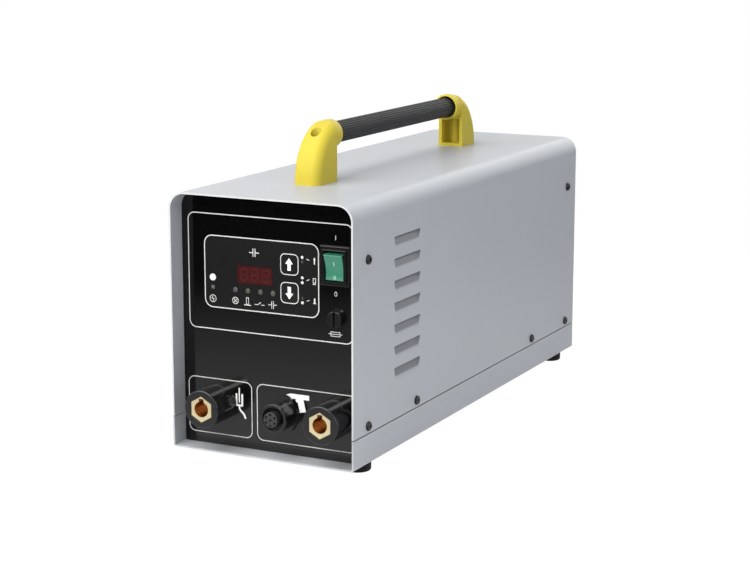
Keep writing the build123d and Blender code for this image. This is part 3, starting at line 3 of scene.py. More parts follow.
import bpy
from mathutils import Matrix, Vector


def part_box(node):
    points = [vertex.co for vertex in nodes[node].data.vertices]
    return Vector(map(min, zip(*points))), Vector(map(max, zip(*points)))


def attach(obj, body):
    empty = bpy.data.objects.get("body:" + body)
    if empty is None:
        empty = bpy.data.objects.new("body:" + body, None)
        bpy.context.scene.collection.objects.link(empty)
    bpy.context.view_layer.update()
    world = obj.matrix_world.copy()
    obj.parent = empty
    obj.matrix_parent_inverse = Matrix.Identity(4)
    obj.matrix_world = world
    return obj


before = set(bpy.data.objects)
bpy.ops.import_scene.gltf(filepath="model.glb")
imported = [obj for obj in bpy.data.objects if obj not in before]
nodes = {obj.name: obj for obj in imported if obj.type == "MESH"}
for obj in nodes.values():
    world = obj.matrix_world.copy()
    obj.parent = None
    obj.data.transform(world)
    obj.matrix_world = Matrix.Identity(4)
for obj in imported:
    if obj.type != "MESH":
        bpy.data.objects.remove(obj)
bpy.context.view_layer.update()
scene = bpy.context.scene
scene.view_settings.view_transform = "Standard"

# Camera: a long lens at the front right, a little above the case, as the photograph was taken.
# It looks 27 degrees across the front and 11 degrees down.
LOOK_DOWN = 11.33
LOOK_ACROSS = 26.676
bpy.ops.object.select_all(action="DESELECT")
bpy.ops.object.camera_add(
    location=(0.7442, -1.5122, 0.4529), rotation=(radians(90 - LOOK_DOWN), 0, radians(LOOK_ACROSS))
)
camera = bpy.context.object
camera.data.sensor_width = 36.0
camera.data.lens = 89.6
scene.camera = camera

# Studio: a wide soft light above and ahead of the case, two weaker ones at the front left and the right,
# a small high one at the front and a weak one at the back, all aimed at the case's middle.
# The room is pale, and what the camera and shiny surfaces see of it is white.
LIGHTS_AIM = Vector((0, 0, 0.12))
for name, place, size, power, colour in (
    ("light_overhead", (-0.6, -0.95, 1.85), 1.9, 40.5, (1.0, 0.985, 0.93)),
    ("light_front_left", (-1.2, -1.9, 0.9), 1.4, 13.0, (1.0, 0.99, 0.94)),
    ("light_front_right", (2.1, -0.5, 0.9), 1.4, 12.0, (0.96, 0.98, 1.0)),
    ("light_front_high", (0.1, -2.0, 1.25), 0.35, 16.0, (1.0, 0.985, 0.93)),
    ("light_back", (0.2, 2.2, 1.0), 1.4, 12.0, (1.0, 1.0, 1.0)),
):
    bpy.ops.object.light_add(type="AREA", location=place)
    lamp = bpy.context.object
    lamp.name = name
    lamp.data.size = size
    lamp.data.energy = power
    lamp.data.color = colour
    lamp.rotation_euler = (LIGHTS_AIM - Vector(place)).to_track_quat("-Z", "Y").to_euler()


def either_ray(tree, *kinds):
    """Socket that is 1 for a ray of any of these kinds."""
    path = tree.nodes.new("ShaderNodeLightPath")
    found = path.outputs[kinds[0]]
    for kind in kinds[1:]:
        either = tree.nodes.new("ShaderNodeMath")
        either.operation = "MAXIMUM"
        tree.links.new(found, either.inputs[0])
        tree.links.new(path.outputs[kind], either.inputs[1])
        found = either.outputs[0]
    return found


world = bpy.data.worlds.new("pale_room")
scene.world = world
world.use_nodes = True
tree = world.node_tree
ambient = tree.nodes["Background"]
ambient.inputs["Color"].default_value = (0.9, 0.94, 1.0, 1)
ambient.inputs["Strength"].default_value = 0.3
backdrop = tree.nodes.new("ShaderNodeBackground")
backdrop.inputs["Color"].default_value = (1, 1, 1, 1)
backdrop.inputs["Strength"].default_value = 1.0
choose = tree.nodes.new("ShaderNodeMixShader")
seen = either_ray(tree, "Is Camera Ray", "Is Glossy Ray", "Is Transmission Ray")
tree.links.new(seen, choose.inputs[0])
tree.links.new(ambient.outputs[0], choose.inputs[1])
tree.links.new(backdrop.outputs[0], choose.inputs[2])
tree.links.new(choose.outputs[0], tree.nodes["World Output"].inputs["Surface"])

# Floor: a white sheet that keeps a faint shadow of the case and fades into the backdrop round it.
# Shiny surfaces see it white near the case and dark further off, where the studio's light ends.
bpy.ops.mesh.primitive_plane_add(size=8.0)
floor = bpy.context.object
floor.name = "floor"
floor_white = bpy.data.materials.new("floor_white")
floor_white.use_nodes = True
tree = floor_white.node_tree
matt = tree.nodes["Principled BSDF"]
matt.inputs["Base Color"].default_value = (0.88, 0.88, 0.88, 1)
matt.inputs["Roughness"].default_value = 0.9
place = tree.nodes.new("ShaderNodeTexCoord")
reach = tree.nodes.new("ShaderNodeVectorMath")
reach.operation = "LENGTH"
tree.links.new(place.outputs["Object"], reach.inputs[0])


def over_reach(near, far, at_near, at_far):
    """Socket that goes from one value to another between two distances from the case's middle."""
    fade = tree.nodes.new("ShaderNodeMapRange")
    for socket, value in zip(("From Min", "From Max", "To Min", "To Max"), (near, far, at_near, at_far)):
        fade.inputs[socket].default_value = value
    tree.links.new(reach.outputs["Value"], fade.inputs["Value"])
    return fade.outputs[0]


SHADOW_REACH = 0.45
BACKDROP_REACH = 1.1
LIT_REACH = 0.3
DARK_REACH = 0.95
under = matt
for kinds, share, strength in (
    (
        ("Is Camera Ray", "Is Transmission Ray"),
        over_reach(SHADOW_REACH, BACKDROP_REACH, 0.92, 1.0),
        over_reach(SHADOW_REACH, BACKDROP_REACH, 1.08, 1.0),
    ),
    (
        ("Is Glossy Ray",),
        over_reach(LIT_REACH, DARK_REACH, 1.0, 1.0),
        over_reach(LIT_REACH, DARK_REACH, 1.0, 0.02),
    ),
):
    glow = tree.nodes.new("ShaderNodeEmission")
    tree.links.new(strength, glow.inputs["Strength"])
    amount = tree.nodes.new("ShaderNodeMath")
    amount.operation = "MULTIPLY"
    tree.links.new(either_ray(tree, *kinds), amount.inputs[0])
    tree.links.new(share, amount.inputs[1])
    over = tree.nodes.new("ShaderNodeMixShader")
    tree.links.new(amount.outputs[0], over.inputs[0])
    tree.links.new(under.outputs[0], over.inputs[1])
    tree.links.new(glow.outputs[0], over.inputs[2])
    under = over
tree.links.new(under.outputs[0], tree.nodes["Material Output"].inputs["Surface"])
floor.data.materials.append(floor_white)


# Case: the floor tray, the hood over it, the panels' plates and the rails are folded from sheet steel.
# They are powder coated in a pale cool grey, which leaves a fine even orange-peel grain.
GRAINS_PER_BLOTCH = 45


def grained(name, colour, rough, grain, depth, spread=0.05, rough_spread=0.05, metal=0.0, shine=0.5):
    """A finish with a fine grain, in bumps per metre and metres deep, over broader blotches."""
    material = bpy.data.materials.new(name)
    material.use_nodes = True
    tree = material.node_tree
    shader = tree.nodes["Principled BSDF"]
    shader.inputs["Metallic"].default_value = metal
    shader.inputs["Specular IOR Level"].default_value = shine
    place = tree.nodes.new("ShaderNodeTexCoord")
    fine = tree.nodes.new("ShaderNodeTexNoise")
    fine.inputs["Scale"].default_value = grain
    fine.inputs["Detail"].default_value = 3.0
    broad = tree.nodes.new("ShaderNodeTexNoise")
    broad.inputs["Scale"].default_value = grain / GRAINS_PER_BLOTCH
    broad.inputs["Detail"].default_value = 4.0
    for noise in (fine, broad):
        tree.links.new(place.outputs["Object"], noise.inputs["Vector"])
    tint = tree.nodes.new("ShaderNodeMix")
    tint.name = "tint"
    tint.data_type = "RGBA"
    tint.inputs[6].default_value = [c * (1 - spread) for c in colour] + [1]
    tint.inputs[7].default_value = [min(1, c * (1 + spread)) for c in colour] + [1]
    tree.links.new(broad.outputs["Fac"], tint.inputs[0])
    tree.links.new(tint.outputs[2], shader.inputs["Base Color"])
    gloss = tree.nodes.new("ShaderNodeMapRange")
    gloss.name = "gloss"
    gloss.inputs["To Min"].default_value = rough - rough_spread
    gloss.inputs["To Max"].default_value = rough + rough_spread
    tree.links.new(broad.outputs["Fac"], gloss.inputs["Value"])
    tree.links.new(gloss.outputs[0], shader.inputs["Roughness"])
    bump = tree.nodes.new("ShaderNodeBump")
    bump.name = "grain"
    bump.inputs["Distance"].default_value = depth
    tree.links.new(fine.outputs["Fac"], bump.inputs["Height"])
    tree.links.new(bump.outputs[0], shader.inputs["Normal"])
    return material


def dress(material, *names):
    """Gives CAD nodes one finish."""
    for name in names:
        nodes[name].data.materials.clear()
        nodes[name].data.materials.append(material)


PAINT_GREY = (0.425, 0.44, 0.475)
case_paint = grained("case_paint", PAINT_GREY, 0.42, 900, 0.00002, spread=0.02, shine=0.35)
dress(case_paint, "base_tray", "front_panel", "rear_panel", "side_rails")

# Hood: one sheet folded over the top and both sides, in the same paint.
# The cut edges at both ends are painted paler, a painted highlight where they face the light.
# The pressed louvres and the lower edges are painted darker: painted shade in the louvres' recesses and
# along the seam with the tray.
hood_paint = grained("hood_paint", PAINT_GREY, 0.4, 900, 0.00002, spread=0.02, shine=0.35)
tree = hood_paint.node_tree
low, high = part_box("hood")


def along_axes(tree):
    """Sockets with the X, Y and Z of each place on the piece."""
    place = tree.nodes.new("ShaderNodeTexCoord")
    axes = tree.nodes.new("ShaderNodeSeparateXYZ")
    tree.links.new(place.outputs["Object"], axes.inputs[0])
    return axes.outputs


def within(tree, along, middle, half):
    """Socket that is 1 within a distance of a middle along one axis."""
    inside = tree.nodes.new("ShaderNodeMath")
    inside.operation = "COMPARE"
    inside.inputs[1].default_value = middle
    inside.inputs[2].default_value = half
    tree.links.new(along, inside.inputs[0])
    return inside.outputs[0]


def both(tree, first, second):
    """Socket that is the product of two others."""
    product = tree.nodes.new("ShaderNodeMath")
    product.operation = "MULTIPLY"
    tree.links.new(first, product.inputs[0])
    tree.links.new(second, product.inputs[1])
    return product.outputs[0]


def painted_over(tree, colour, amount, under):
    """Socket with a colour laid over what is under it, by an amount."""
    coat = tree.nodes.new("ShaderNodeMix")
    coat.data_type = "RGBA"
    coat.inputs[7].default_value = colour
    tree.links.new(amount, coat.inputs[0])
    tree.links.new(under, coat.inputs[6])
    return coat.outputs[2]


LOUVRE_MIDDLE = (-0.1398, 0.1282)
LOUVRE_HALF = (0.026, 0.066)
LOUVRE_SHADE_GREY = (0.185, 0.192, 0.214, 1)
SHADE_START = 0.0002
SHADE_FULL = 0.0006
CUT_EDGE = 0.0003
CUT_HIGHLIGHT_GREY = (0.54, 0.55, 0.565, 1)
SEAM = 0.0005
SEAM_SHADE_GREY = (0.1, 0.103, 0.112, 1)
across, along, up = along_axes(tree)
away = tree.nodes.new("ShaderNodeMath")
away.operation = "ABSOLUTE"
tree.links.new(across, away.inputs[0])
pressed = tree.nodes.new("ShaderNodeMapRange")
pressed.inputs["From Min"].default_value = high.x - SHADE_START
pressed.inputs["From Max"].default_value = high.x - SHADE_FULL
tree.links.new(away.outputs[0], pressed.inputs["Value"])
louvre_field = both(
    tree,
    within(tree, along, LOUVRE_MIDDLE[0], LOUVRE_HALF[0]),
    within(tree, up, LOUVRE_MIDDLE[1], LOUVRE_HALF[1]),
)
# Painted shade: the pressed faces of the louvres are darkened.
louvre_shade = both(tree, pressed.outputs[0], louvre_field)
shaded_louvres = painted_over(tree, LOUVRE_SHADE_GREY, louvre_shade, tree.nodes["tint"].outputs[2])
middle = (low.y + high.y) / 2
cut_end_highlight = tree.nodes.new("ShaderNodeMath")
cut_end_highlight.operation = "SUBTRACT"
cut_end_highlight.inputs[0].default_value = 1.0
tree.links.new(within(tree, along, middle, high.y - middle - CUT_EDGE), cut_end_highlight.inputs[1])
# Painted highlight: the cut edges at both ends are made paler.
highlighted_edges = painted_over(tree, CUT_HIGHLIGHT_GREY, cut_end_highlight.outputs[0], shaded_louvres)
# Painted shade: the hood's lowest strip, along its seam with the tray, is darkened.
seam_shaded = painted_over(tree, SEAM_SHADE_GREY, within(tree, up, low.z, SEAM), highlighted_edges)
tree.links.new(seam_shaded, tree.nodes["Principled BSDF"].inputs["Base Color"])
dress(hood_paint, "hood")

# Screws: all are blackened steel. Button heads with a hexagon socket hold the hood to the tray and panels.
# The screws of the back, the feet and the handle have the same finish.
black_oxide = grained("black_oxide", (0.007, 0.007, 0.008), 0.4, 1600, 0.00001, spread=0.25, metal=0.2)
dress(black_oxide, "hood_screws", "rear_screws", "foot_screws", "handle_screws")

# Feet: four round mouldings of black rubber with a matt skin.
# Each stands under a corner of the tray, held by a screw that goes up through it.
foot_rubber = grained("foot_rubber", (0.006, 0.006, 0.006), 0.7, 1100, 0.00003, spread=0.15, shine=0.2)
dress(foot_rubber, "foot_front_left", "foot_front_right", "foot_rear_left", "foot_rear_right")

# Front film: a glossy black polyester sheet bonded over the whole front plate.
# Its surface is almost flat, so it mirrors the sockets and the floor. The keypad's field is satin.
film_black = grained(
    "film_black", (0.0014, 0.0014, 0.0016), 0.11, 350, 0.000004, spread=0.2, rough_spread=0.03
)
PAD_MIDDLE = (-0.0082, 0.0, 0.1584)
PAD_HALF = (0.0538, 1.0, 0.0305)
PAD_CORNER = 0.0075
SATIN_ROUGHER = 0.17
tree = film_black.node_tree
place = tree.nodes.new("ShaderNodeTexCoord")
found = place.outputs["Object"]
for operation, value in (
    ("SUBTRACT", PAD_MIDDLE),
    ("ABSOLUTE", (0, 0, 0)),
    ("SUBTRACT", [side - PAD_CORNER for side in PAD_HALF]),
    ("MAXIMUM", (0, 0, 0)),
):
    step = tree.nodes.new("ShaderNodeVectorMath")
    step.operation = operation
    step.inputs[1].default_value = value
    tree.links.new(found, step.inputs[0])
    found = step.outputs["Vector"]
beyond = tree.nodes.new("ShaderNodeVectorMath")
beyond.operation = "LENGTH"
tree.links.new(found, beyond.inputs[0])
satin = tree.nodes.new("ShaderNodeMath")
satin.operation = "LESS_THAN"
satin.inputs[1].default_value = PAD_CORNER
tree.links.new(beyond.outputs["Value"], satin.inputs[0])
duller = tree.nodes.new("ShaderNodeMath")
duller.operation = "MULTIPLY_ADD"
duller.inputs[1].default_value = SATIN_ROUGHER
tree.links.new(satin.outputs[0], duller.inputs[0])
tree.links.new(tree.nodes["gloss"].outputs[0], duller.inputs[2])
tree.links.new(duller.outputs[0], tree.nodes["Principled BSDF"].inputs["Roughness"])
dress(film_black, "front_film")

# Printed frames: thin white lines with round corners, one round the upper half, one round the keypad
# and one round each group of sockets.
# All printing is white ink on the film, laid as thin raised marks. Its places are in millimetres.
FILM_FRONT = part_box("front_film")[0].y
BASE_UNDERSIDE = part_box("base_tray")[0].z
INK = 0.00004
MARK_STEP = 0.0000006
marks = []


def stand(x, height):
    """Place on the film in metres, from millimetres right of the middle and above the tray's underside."""
    return (x / 1000, FILM_FRONT, BASE_UNDERSIDE + height / 1000)


def keep_mark():
    """Adds the shape just made to the print, a hair over the last one, so that no two faces coincide."""
    bpy.ops.transform.translate(value=(0, -MARK_STEP * len(marks), 0))
    bpy.ops.object.transform_apply(location=True, rotation=True, scale=True)
    marks.append(bpy.context.object)


def bar(x, height, wide, tall, turn=0):
    """A plain stroke. A turn is in degrees, clockwise."""
    bpy.ops.mesh.primitive_plane_add(
        size=1, location=stand(x, height), rotation=(radians(90), radians(turn), 0)
    )
    bpy.context.object.scale = (wide / 1000, tall / 1000, 1)
    keep_mark()


def disc(x, height, radius, sides=28, turn=0, tall=1.0):
    """A filled dot, or a triangle with three sides."""
    bpy.ops.mesh.primitive_circle_add(
        vertices=sides,
        radius=radius / 1000,
        fill_type="NGON",
        location=stand(x, height),
        rotation=(radians(90), radians(turn), 0),
    )
    bpy.context.object.scale = (1, tall, 1)
    keep_mark()


def open_middle(line):
    """Leaves only a line round the edge of the face in edit mode."""
    bpy.ops.mesh.inset(thickness=line / 1000)
    bpy.ops.mesh.delete(type="FACE")
    bpy.ops.object.mode_set(mode="OBJECT")


def ring(x, height, radius, line, tall=1.0):
    """A round or oval line."""
    disc(x, height, radius, tall=tall)
    bpy.ops.object.mode_set(mode="EDIT")
    bpy.ops.mesh.select_all(action="SELECT")
    open_middle(line)


def outline(left, right, low, high, corner, line):
    """A rectangular line with round corners."""
    bar((left + right) / 2, (low + high) / 2, right - left, high - low)
    bpy.ops.object.mode_set(mode="EDIT")
    bpy.ops.mesh.select_all(action="SELECT")
    if corner:
        bpy.ops.mesh.bevel(offset=corner / 1000, segments=7, affect="VERTICES")
    open_middle(line)


def printed(name, body, ink, lift=0.0, onto=None):
    """Joins the marks into one print as thick as ink, laid onto a curved node if one is given."""
    bpy.ops.object.select_all(action="DESELECT")
    for mark in marks:
        mark.select_set(True)
    bpy.context.view_layer.objects.active = marks[0]
    bpy.ops.object.join()
    piece = bpy.context.object
    piece.name = name
    if onto:
        lay = piece.modifiers.new("lay", "SHRINKWRAP")
        lay.target = nodes[onto]
        lay.wrap_method = "PROJECT"
        lay.use_project_y = True
        lay.use_negative_direction = True
        lay.use_positive_direction = True
        bpy.ops.object.modifier_apply(modifier="lay")
    bpy.ops.object.mode_set(mode="EDIT")
    bpy.ops.mesh.select_all(action="SELECT")
    bpy.ops.transform.translate(value=(0, -lift, 0))
    bpy.ops.mesh.extrude_region_move(TRANSFORM_OT_translate={"value": (0, -INK, 0)})
    bpy.ops.mesh.select_all(action="SELECT")
    bpy.ops.mesh.normals_make_consistent(inside=False)
    bpy.ops.object.mode_set(mode="OBJECT")
    bpy.ops.object.origin_set(type="ORIGIN_CURSOR")
    piece.data.materials.append(ink)
    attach(piece, body)
    marks.clear()


ink_white = grained("ink_white", (0.62, 0.62, 0.62), 0.4, 2500, 0.000002, spread=0.03)
outline(-77.5, 76.6, 100.3, 197.9, 6.5, 0.85)
outline(-62.0, 45.6, 118.9, 179.9, 7.5, 0.85)
outline(-79.6, -18.0, 10.4, 58.5, 6.0, 0.75)
outline(-13.6, 79.0, 10.2, 58.6, 6.0, 0.75)
printed("printed_frames", "unit", ink_white)

# Keypad print: a charge symbol over the display, and below it a round sign under the white lamp
# and one sign under each lamp of the row. They are fine lines of the same white ink.
bar(-15.5, 168.0, 0.75, 6.8)
bar(-13.5, 168.0, 0.75, 6.8)
bar(-17.5, 168.0, 3.3, 0.75)
bar(-11.5, 168.0, 3.3, 0.75)
ring(-54.2, 126.5, 3.2, 0.5)
bar(-54.9, 127.5, 0.55, 2.4, turn=35)
bar(-53.6, 125.6, 0.55, 2.4, turn=35)
bar(-54.2, 126.5, 2.0, 0.5)
ring(-32.7, 126.6, 3.0, 0.5)
bar(-32.7, 126.6, 0.5, 5.2, turn=45)
bar(-32.7, 126.6, 0.5, 5.2, turn=-45)
outline(-22.5, -19.9, 124.4, 130.2, 0, 0.45)
bar(-21.2, 123.8, 6.6, 0.7)
bar(-12.8, 125.1, 3.0, 0.55)
bar(-10.0, 126.2, 3.8, 0.55, turn=-35)
bar(-6.6, 125.1, 3.0, 0.55)
bar(1.6, 126.1, 0.55, 6.4)
bar(3.2, 126.1, 0.55, 6.4)
bar(-0.1, 126.1, 2.8, 0.55)
bar(4.9, 126.1, 2.8, 0.55)
printed("printed_keypad_symbols", "unit", ink_white)


# Keypad legend: pairs of dots beside the keys, each with a stroke and a small sign for what it sets.
# A white line rings each key. The dots that are off and the square under the white lamp are grey ink.
def panel_place(name):
    """A node's middle in millimetres, right of the panel's middle and above the tray's underside."""
    low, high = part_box(name)
    return (low.x + high.x) / 2 * 1000, ((low.z + high.z) / 2 - BASE_UNDERSIDE) * 1000


for height in (167.9, 151.2, 147.2, 130.6):
    disc(30.2, height, 1.25, sides=20)
for height, turn in ((166.4, 20), (149.7, -25), (132.8, -20)):
    bar(35.4, height, 2.8, 0.55, turn=turn)
bar(41.4, 164.8, 1.1, 3.6)
disc(41.4, 167.4, 1.4, sides=3)
outline(39.9, 42.7, 147.6, 151.8, 0, 0.55)
bar(41.3, 146.8, 2.8, 0.7)
bar(41.4, 133.4, 1.3, 3.6)
bar(41.4, 131.1, 2.6, 0.8)
for key in ("key_up", "key_down"):
    key_x, key_h = panel_place(key)
    outline(key_x - 8.3, key_x + 8.5, key_h - 8.8, key_h + 8.8, 4.2, 0.75)
printed("printed_key_legend", "unit", ink_white)
ink_grey = grained("ink_grey", (0.1, 0.1, 0.1), 0.35, 2500, 0.000002, spread=0.1)
for height in (164.2, 134.4):
    ring(30.2, height, 1.0, 0.4)
bar(-54.0, 136.2, 3.0, 3.0)
printed("printed_dim_signs", "unit", ink_grey)

# Switch and fuse print: the line for on over the switch, the ring for off below it,
# and the general sign for a fuse under the fuse holder, all in white ink.
bar(60.8, 186.3, 0.5, 3.6)
ring(60.7, 140.6, 1.3, 0.42, tall=1.5)
outline(55.8, 64.6, 105.6, 109.6, 0, 0.5)
bar(60.2, 107.6, 12.6, 0.5)
printed("printed_switch_signs", "unit", ink_white)

# Socket print: an earth clamp beside the left socket and a welding gun over the control socket.
# These and the key arrows are broad, so the ink lies thicker on them and is whiter.
bar(-30.35, 46.5, 1.1, 12.5)
bar(-33.1, 42.7, 1.7, 10.0)
bar(-27.6, 42.7, 1.7, 10.0)
bar(-30.35, 37.8, 7.2, 1.7)
bar(-30.3, 36.0, 1.7, 2.2)
bar(-29.6, 34.0, 1.7, 2.6, turn=-35)
bar(-27.5, 31.9, 1.7, 3.7, turn=-51)
bar(-25.4, 29.1, 1.7, 3.4, turn=-24)
for x, height in ((-30.3, 35.0), (-28.9, 33.0), (-26.1, 30.7), (-24.7, 27.6)):
    disc(x, height, 0.85, sides=16)
bar(27.1, 51.65, 17.2, 4.1)
disc(17.2, 52.3, 1.75, sides=3, turn=-90, tall=1.66)
bar(28.6, 44.4, 5.8, 11.2, turn=-13)
bar(24.8, 48.5, 3.0, 2.6, turn=-30)
ink_bold = grained("ink_bold", (0.86, 0.86, 0.86), 0.4, 2500, 0.000002, spread=0.03)
printed("printed_socket_signs", "unit", ink_bold)

# Keys: two square black caps that stand just proud of the film, each with a bold white arrow.
# They press on small black switches, which sit on the display's board behind the panel.
key_black = grained("key_black", (0.009, 0.009, 0.01), 0.2, 500, 0.000006, spread=0.2)
dress(key_black, "key_up", "key_down")
for key, way in (("key_up", 1), ("key_down", -1)):
    key_x, key_h = panel_place(key)
    bar(key_x, key_h - 2.3 * way, 3.0, 5.6)
    disc(key_x, key_h + 2.0 * way, 4.1, sides=3, turn=0 if way > 0 else 180, tall=0.8)
    printed(f"{key}_arrow", key, ink_bold, lift=FILM_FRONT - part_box(key)[0].y)
switch_black = grained("switch_black", (0.003, 0.003, 0.0033), 0.22, 1300, 0.00001, spread=0.15)
dress(switch_black, "key_switches")

# Display: a dark red tinted window with three unlit figures showing faintly in it.
# Each figure has seven strokes and a point, a little slanted. The module behind is black.
FIGURE_PITCH = 10.0
FIGURE_RISE = 4.9
FIGURE_HALF = 2.9
FIGURE_LEAN = 0.1
POINT_SHIFT = 4.4
STROKE = 1.1
window_red = grained(
    "window_red", (0.042, 0.004, 0.004), 0.2, 300, 0.000003, spread=0.12, rough_spread=0.03
)
dress(window_red, "display_window")
dress(switch_black, "display_module")
segment_red = grained("segment_red", (0.066, 0.008, 0.0075), 0.25, 600, 0.000002, spread=0.15)
window_x, window_h = panel_place("display_window")
for x in (window_x - FIGURE_PITCH, window_x, window_x + FIGURE_PITCH):
    for rise in (-FIGURE_RISE, 0.0, FIGURE_RISE):
        bar(x + rise * FIGURE_LEAN, window_h + rise, 4.4, STROKE)
    for side in (-FIGURE_HALF, FIGURE_HALF):
        for rise in (-FIGURE_RISE / 2, FIGURE_RISE / 2):
            bar(x + side + rise * FIGURE_LEAN, window_h + rise, STROKE, 4.0, turn=6)
    disc(x + POINT_SHIFT, window_h - FIGURE_RISE, 0.7, sides=12)
printed("display_figures", "unit", segment_red)

# Lamps: round-topped lenses of tinted resin that stand in holes of the film.
# One is white. The row of four is dull and unlit, and its first lens is a little mauve.
FIRST_LAMP = 0.006
lens_white = grained("lens_white", (0.86, 0.87, 0.87), 0.25, 900, 0.000004, spread=0.02)
dress(lens_white, "led_ready")
lens_dull = grained("lens_dull", (0.075, 0.073, 0.055), 0.3, 900, 0.000004, spread=0.15)
tree = lens_dull.node_tree
first_lamp = within(tree, along_axes(tree)[0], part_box("led_row")[0].x, FIRST_LAMP)
mauve = painted_over(tree, (0.075, 0.058, 0.072, 1), first_lamp, tree.nodes["tint"].outputs[2])
tree.links.new(mauve, tree.nodes["Principled BSDF"].inputs["Base Color"])
dress(lens_dull, "led_row")

# Mains switch: a black framed body that snaps into the panel, with tinned tabs at its back.
# Its green rocker is glossy nylon and carries the on and off marks in paler ink.
dress(switch_black, "switch_housing")
rocker_green = grained("rocker_green", (0.034, 0.19, 0.122), 0.22, 260, 0.000006, spread=0.12)
dress(rocker_green, "switch_rocker")
ink_green = grained("ink_green", (0.34, 0.58, 0.46), 0.3, 2500, 0.000002, spread=0.05)
bar(60.7, 165.6, 0.7, 3.4)
ring(60.8, 154.4, 1.1, 0.5, tall=1.4)
printed("rocker_marks", "rocker", ink_green, onto="switch_rocker")
tinned_brass = grained("tinned_brass", (0.55, 0.54, 0.5), 0.35, 1500, 0.000006, metal=1.0)
dress(tinned_brass, "spade_tabs")

# Fuse: a clear glass tube between two tinned cups, which comes out with its black cap.
# The holder is the same black moulding, clamped to the panel by a nut.
dress(switch_black, "fuse_holder", "fuse_cap", "fuse_nut")
dress(tinned_brass, "fuse_ends")
fuse_clear = grained(
    "fuse_clear", (0.9, 0.95, 0.93), 0.06, 200, 0.000001, spread=0.02, rough_spread=0.02
)
fuse_clear.node_tree.nodes["Principled BSDF"].inputs["Transmission Weight"].default_value = 1.0
dress(fuse_clear, "fuse_glass")

# Welding sockets: black moulded collars, each round a brass insert with a bayonet bore.
# The insert's face is polished by the plugs. Its bore is painted darker and browner, a painted shade, and
# keeps the marks of turning.
BORE_START = 0.0005
BORE_HALF = 0.02
collar_black = grained("collar_black", (0.004, 0.004, 0.0048), 0.22, 900, 0.000006, spread=0.2)
dress(collar_black, "weld_socket_left", "weld_socket_right")
turned_brass = grained("turned_brass", (0.9, 0.77, 0.48), 0.2, 1800, 0.000006, spread=0.06, metal=1.0)
dress(turned_brass, "weld_insert_left", "weld_insert_right", "socket_nuts")
tree = turned_brass.node_tree
bore_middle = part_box("weld_insert_left")[0].y + BORE_START + BORE_HALF
bore = within(tree, along_axes(tree)[1], bore_middle, BORE_HALF)
# Painted shade: the bore is tinted darker and browner than the face.
bore_painted_shade = painted_over(tree, (0.7, 0.44, 0.2, 1), bore, tree.nodes["tint"].outputs[2])
tree.links.new(bore_painted_shade, tree.nodes["Principled BSDF"].inputs["Base Color"])
place = tree.nodes.new("ShaderNodeTexCoord")
turning = tree.nodes.new("ShaderNodeTexWave")
turning.bands_direction = "Y"
turning.inputs["Scale"].default_value = 130.0
turning.inputs["Distortion"].default_value = 1.5
tree.links.new(place.outputs["Object"], turning.inputs["Vector"])
ridges = tree.nodes.new("ShaderNodeBump")
ridges.inputs["Distance"].default_value = 0.0003
tree.links.new(both(tree, turning.outputs["Fac"], bore), ridges.inputs["Height"])
tree.links.new(tree.nodes["grain"].outputs[0], ridges.inputs["Normal"])
tree.links.new(ridges.outputs[0], tree.nodes["Principled BSDF"].inputs["Normal"])

# Control socket: a black barrel on a faceted flange, clamped to the panel from behind.
# A grey moulded insert in its mouth holds the seven brass contacts.
control_black = grained("control_black", (0.004, 0.004, 0.0045), 0.2, 1100, 0.000006, spread=0.2)
dress(control_black, "control_socket")
insert_grey = grained("insert_grey", (0.02, 0.02, 0.022), 0.45, 1100, 0.00001, spread=0.15)
dress(insert_grey, "control_insert")
dress(turned_brass, "control_contacts")

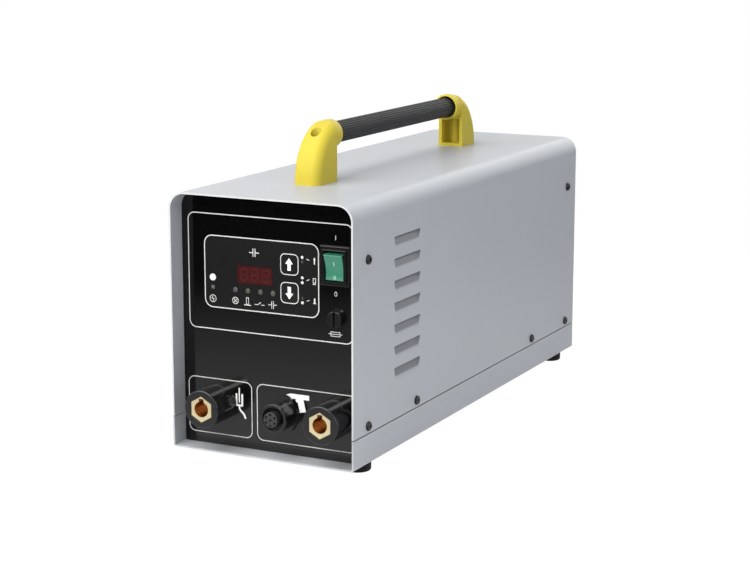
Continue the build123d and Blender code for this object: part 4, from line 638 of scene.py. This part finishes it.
# Handle: two hollow elbows of yellow nylon, with a fluted dark tube held between their collars.
# Cap screws go down through the elbows into plated nuts under the hood.
elbow_yellow = grained("elbow_yellow", (0.6, 0.488, 0.052), 0.42, 1500, 0.000004, spread=0.03, shine=0.15)
dress(elbow_yellow, "handle_bracket_front", "handle_bracket_rear")
grip_dark = grained("grip_dark", (0.02, 0.021, 0.0225), 0.48, 1200, 0.00002, spread=0.15, shine=0.22)
dress(grip_dark, "handle_grip")
zinc_plate = grained("zinc_plate", (0.56, 0.57, 0.58), 0.34, 700, 0.00001, spread=0.08, metal=1.0)
dress(zinc_plate, "handle_nuts")

# Back: an axial fan of black plastic behind a chromed wire guard, which the fan's screws hold.
# Below it is a moulded mains inlet with three plated pins.
fan_black = grained("fan_black", (0.016, 0.016, 0.017), 0.5, 1200, 0.00002, spread=0.2)
dress(fan_black, "fan_frame", "fan_rotor", "mains_inlet")
wire_chrome = grained("wire_chrome", (0.72, 0.73, 0.74), 0.16, 600, 0.000004, spread=0.05, metal=1.0)
dress(wire_chrome, "fan_guard")
dress(zinc_plate, "inlet_pins")

# Inside: the capacitor bank on its seat board with copper bars, the thyristor on a finned heat sink,
# the wound transformer, the circuit boards and the two heavy leads to the sockets.
sleeve_blue = grained("sleeve_blue", (0.02, 0.04, 0.13), 0.35, 500, 0.00001, spread=0.1)
dress(sleeve_blue, "capacitors")
seat_brown = grained("seat_brown", (0.28, 0.17, 0.08), 0.55, 700, 0.00003, spread=0.25)
dress(seat_brown, "capacitor_tray")
bar_copper = grained("bar_copper", (0.78, 0.36, 0.2), 0.28, 900, 0.000008, spread=0.12, metal=1.0)
dress(bar_copper, "busbar_positive", "busbar_negative")
fin_aluminium = grained("fin_aluminium", (0.62, 0.63, 0.65), 0.38, 800, 0.00001, spread=0.06, metal=1.0)
dress(fin_aluminium, "heatsink")
module_grey = grained("module_grey", (0.05, 0.05, 0.055), 0.45, 1000, 0.00002, spread=0.15)
dress(module_grey, "thyristor")
lead_black = grained("lead_black", (0.015, 0.015, 0.016), 0.5, 800, 0.00002, spread=0.2)
dress(lead_black, "weld_lead_left", "weld_lead_right")
tape_yellow = grained("tape_yellow", (0.6, 0.4, 0.05), 0.4, 500, 0.00004, spread=0.2)
dress(tape_yellow, "transformer")
board_green = grained("board_green", (0.02, 0.15, 0.065), 0.35, 900, 0.00002, spread=0.3)
dress(board_green, "display_board", "control_board")
dress(zinc_plate, "busbar_screws", "transformer_clamp", "board_standoffs")
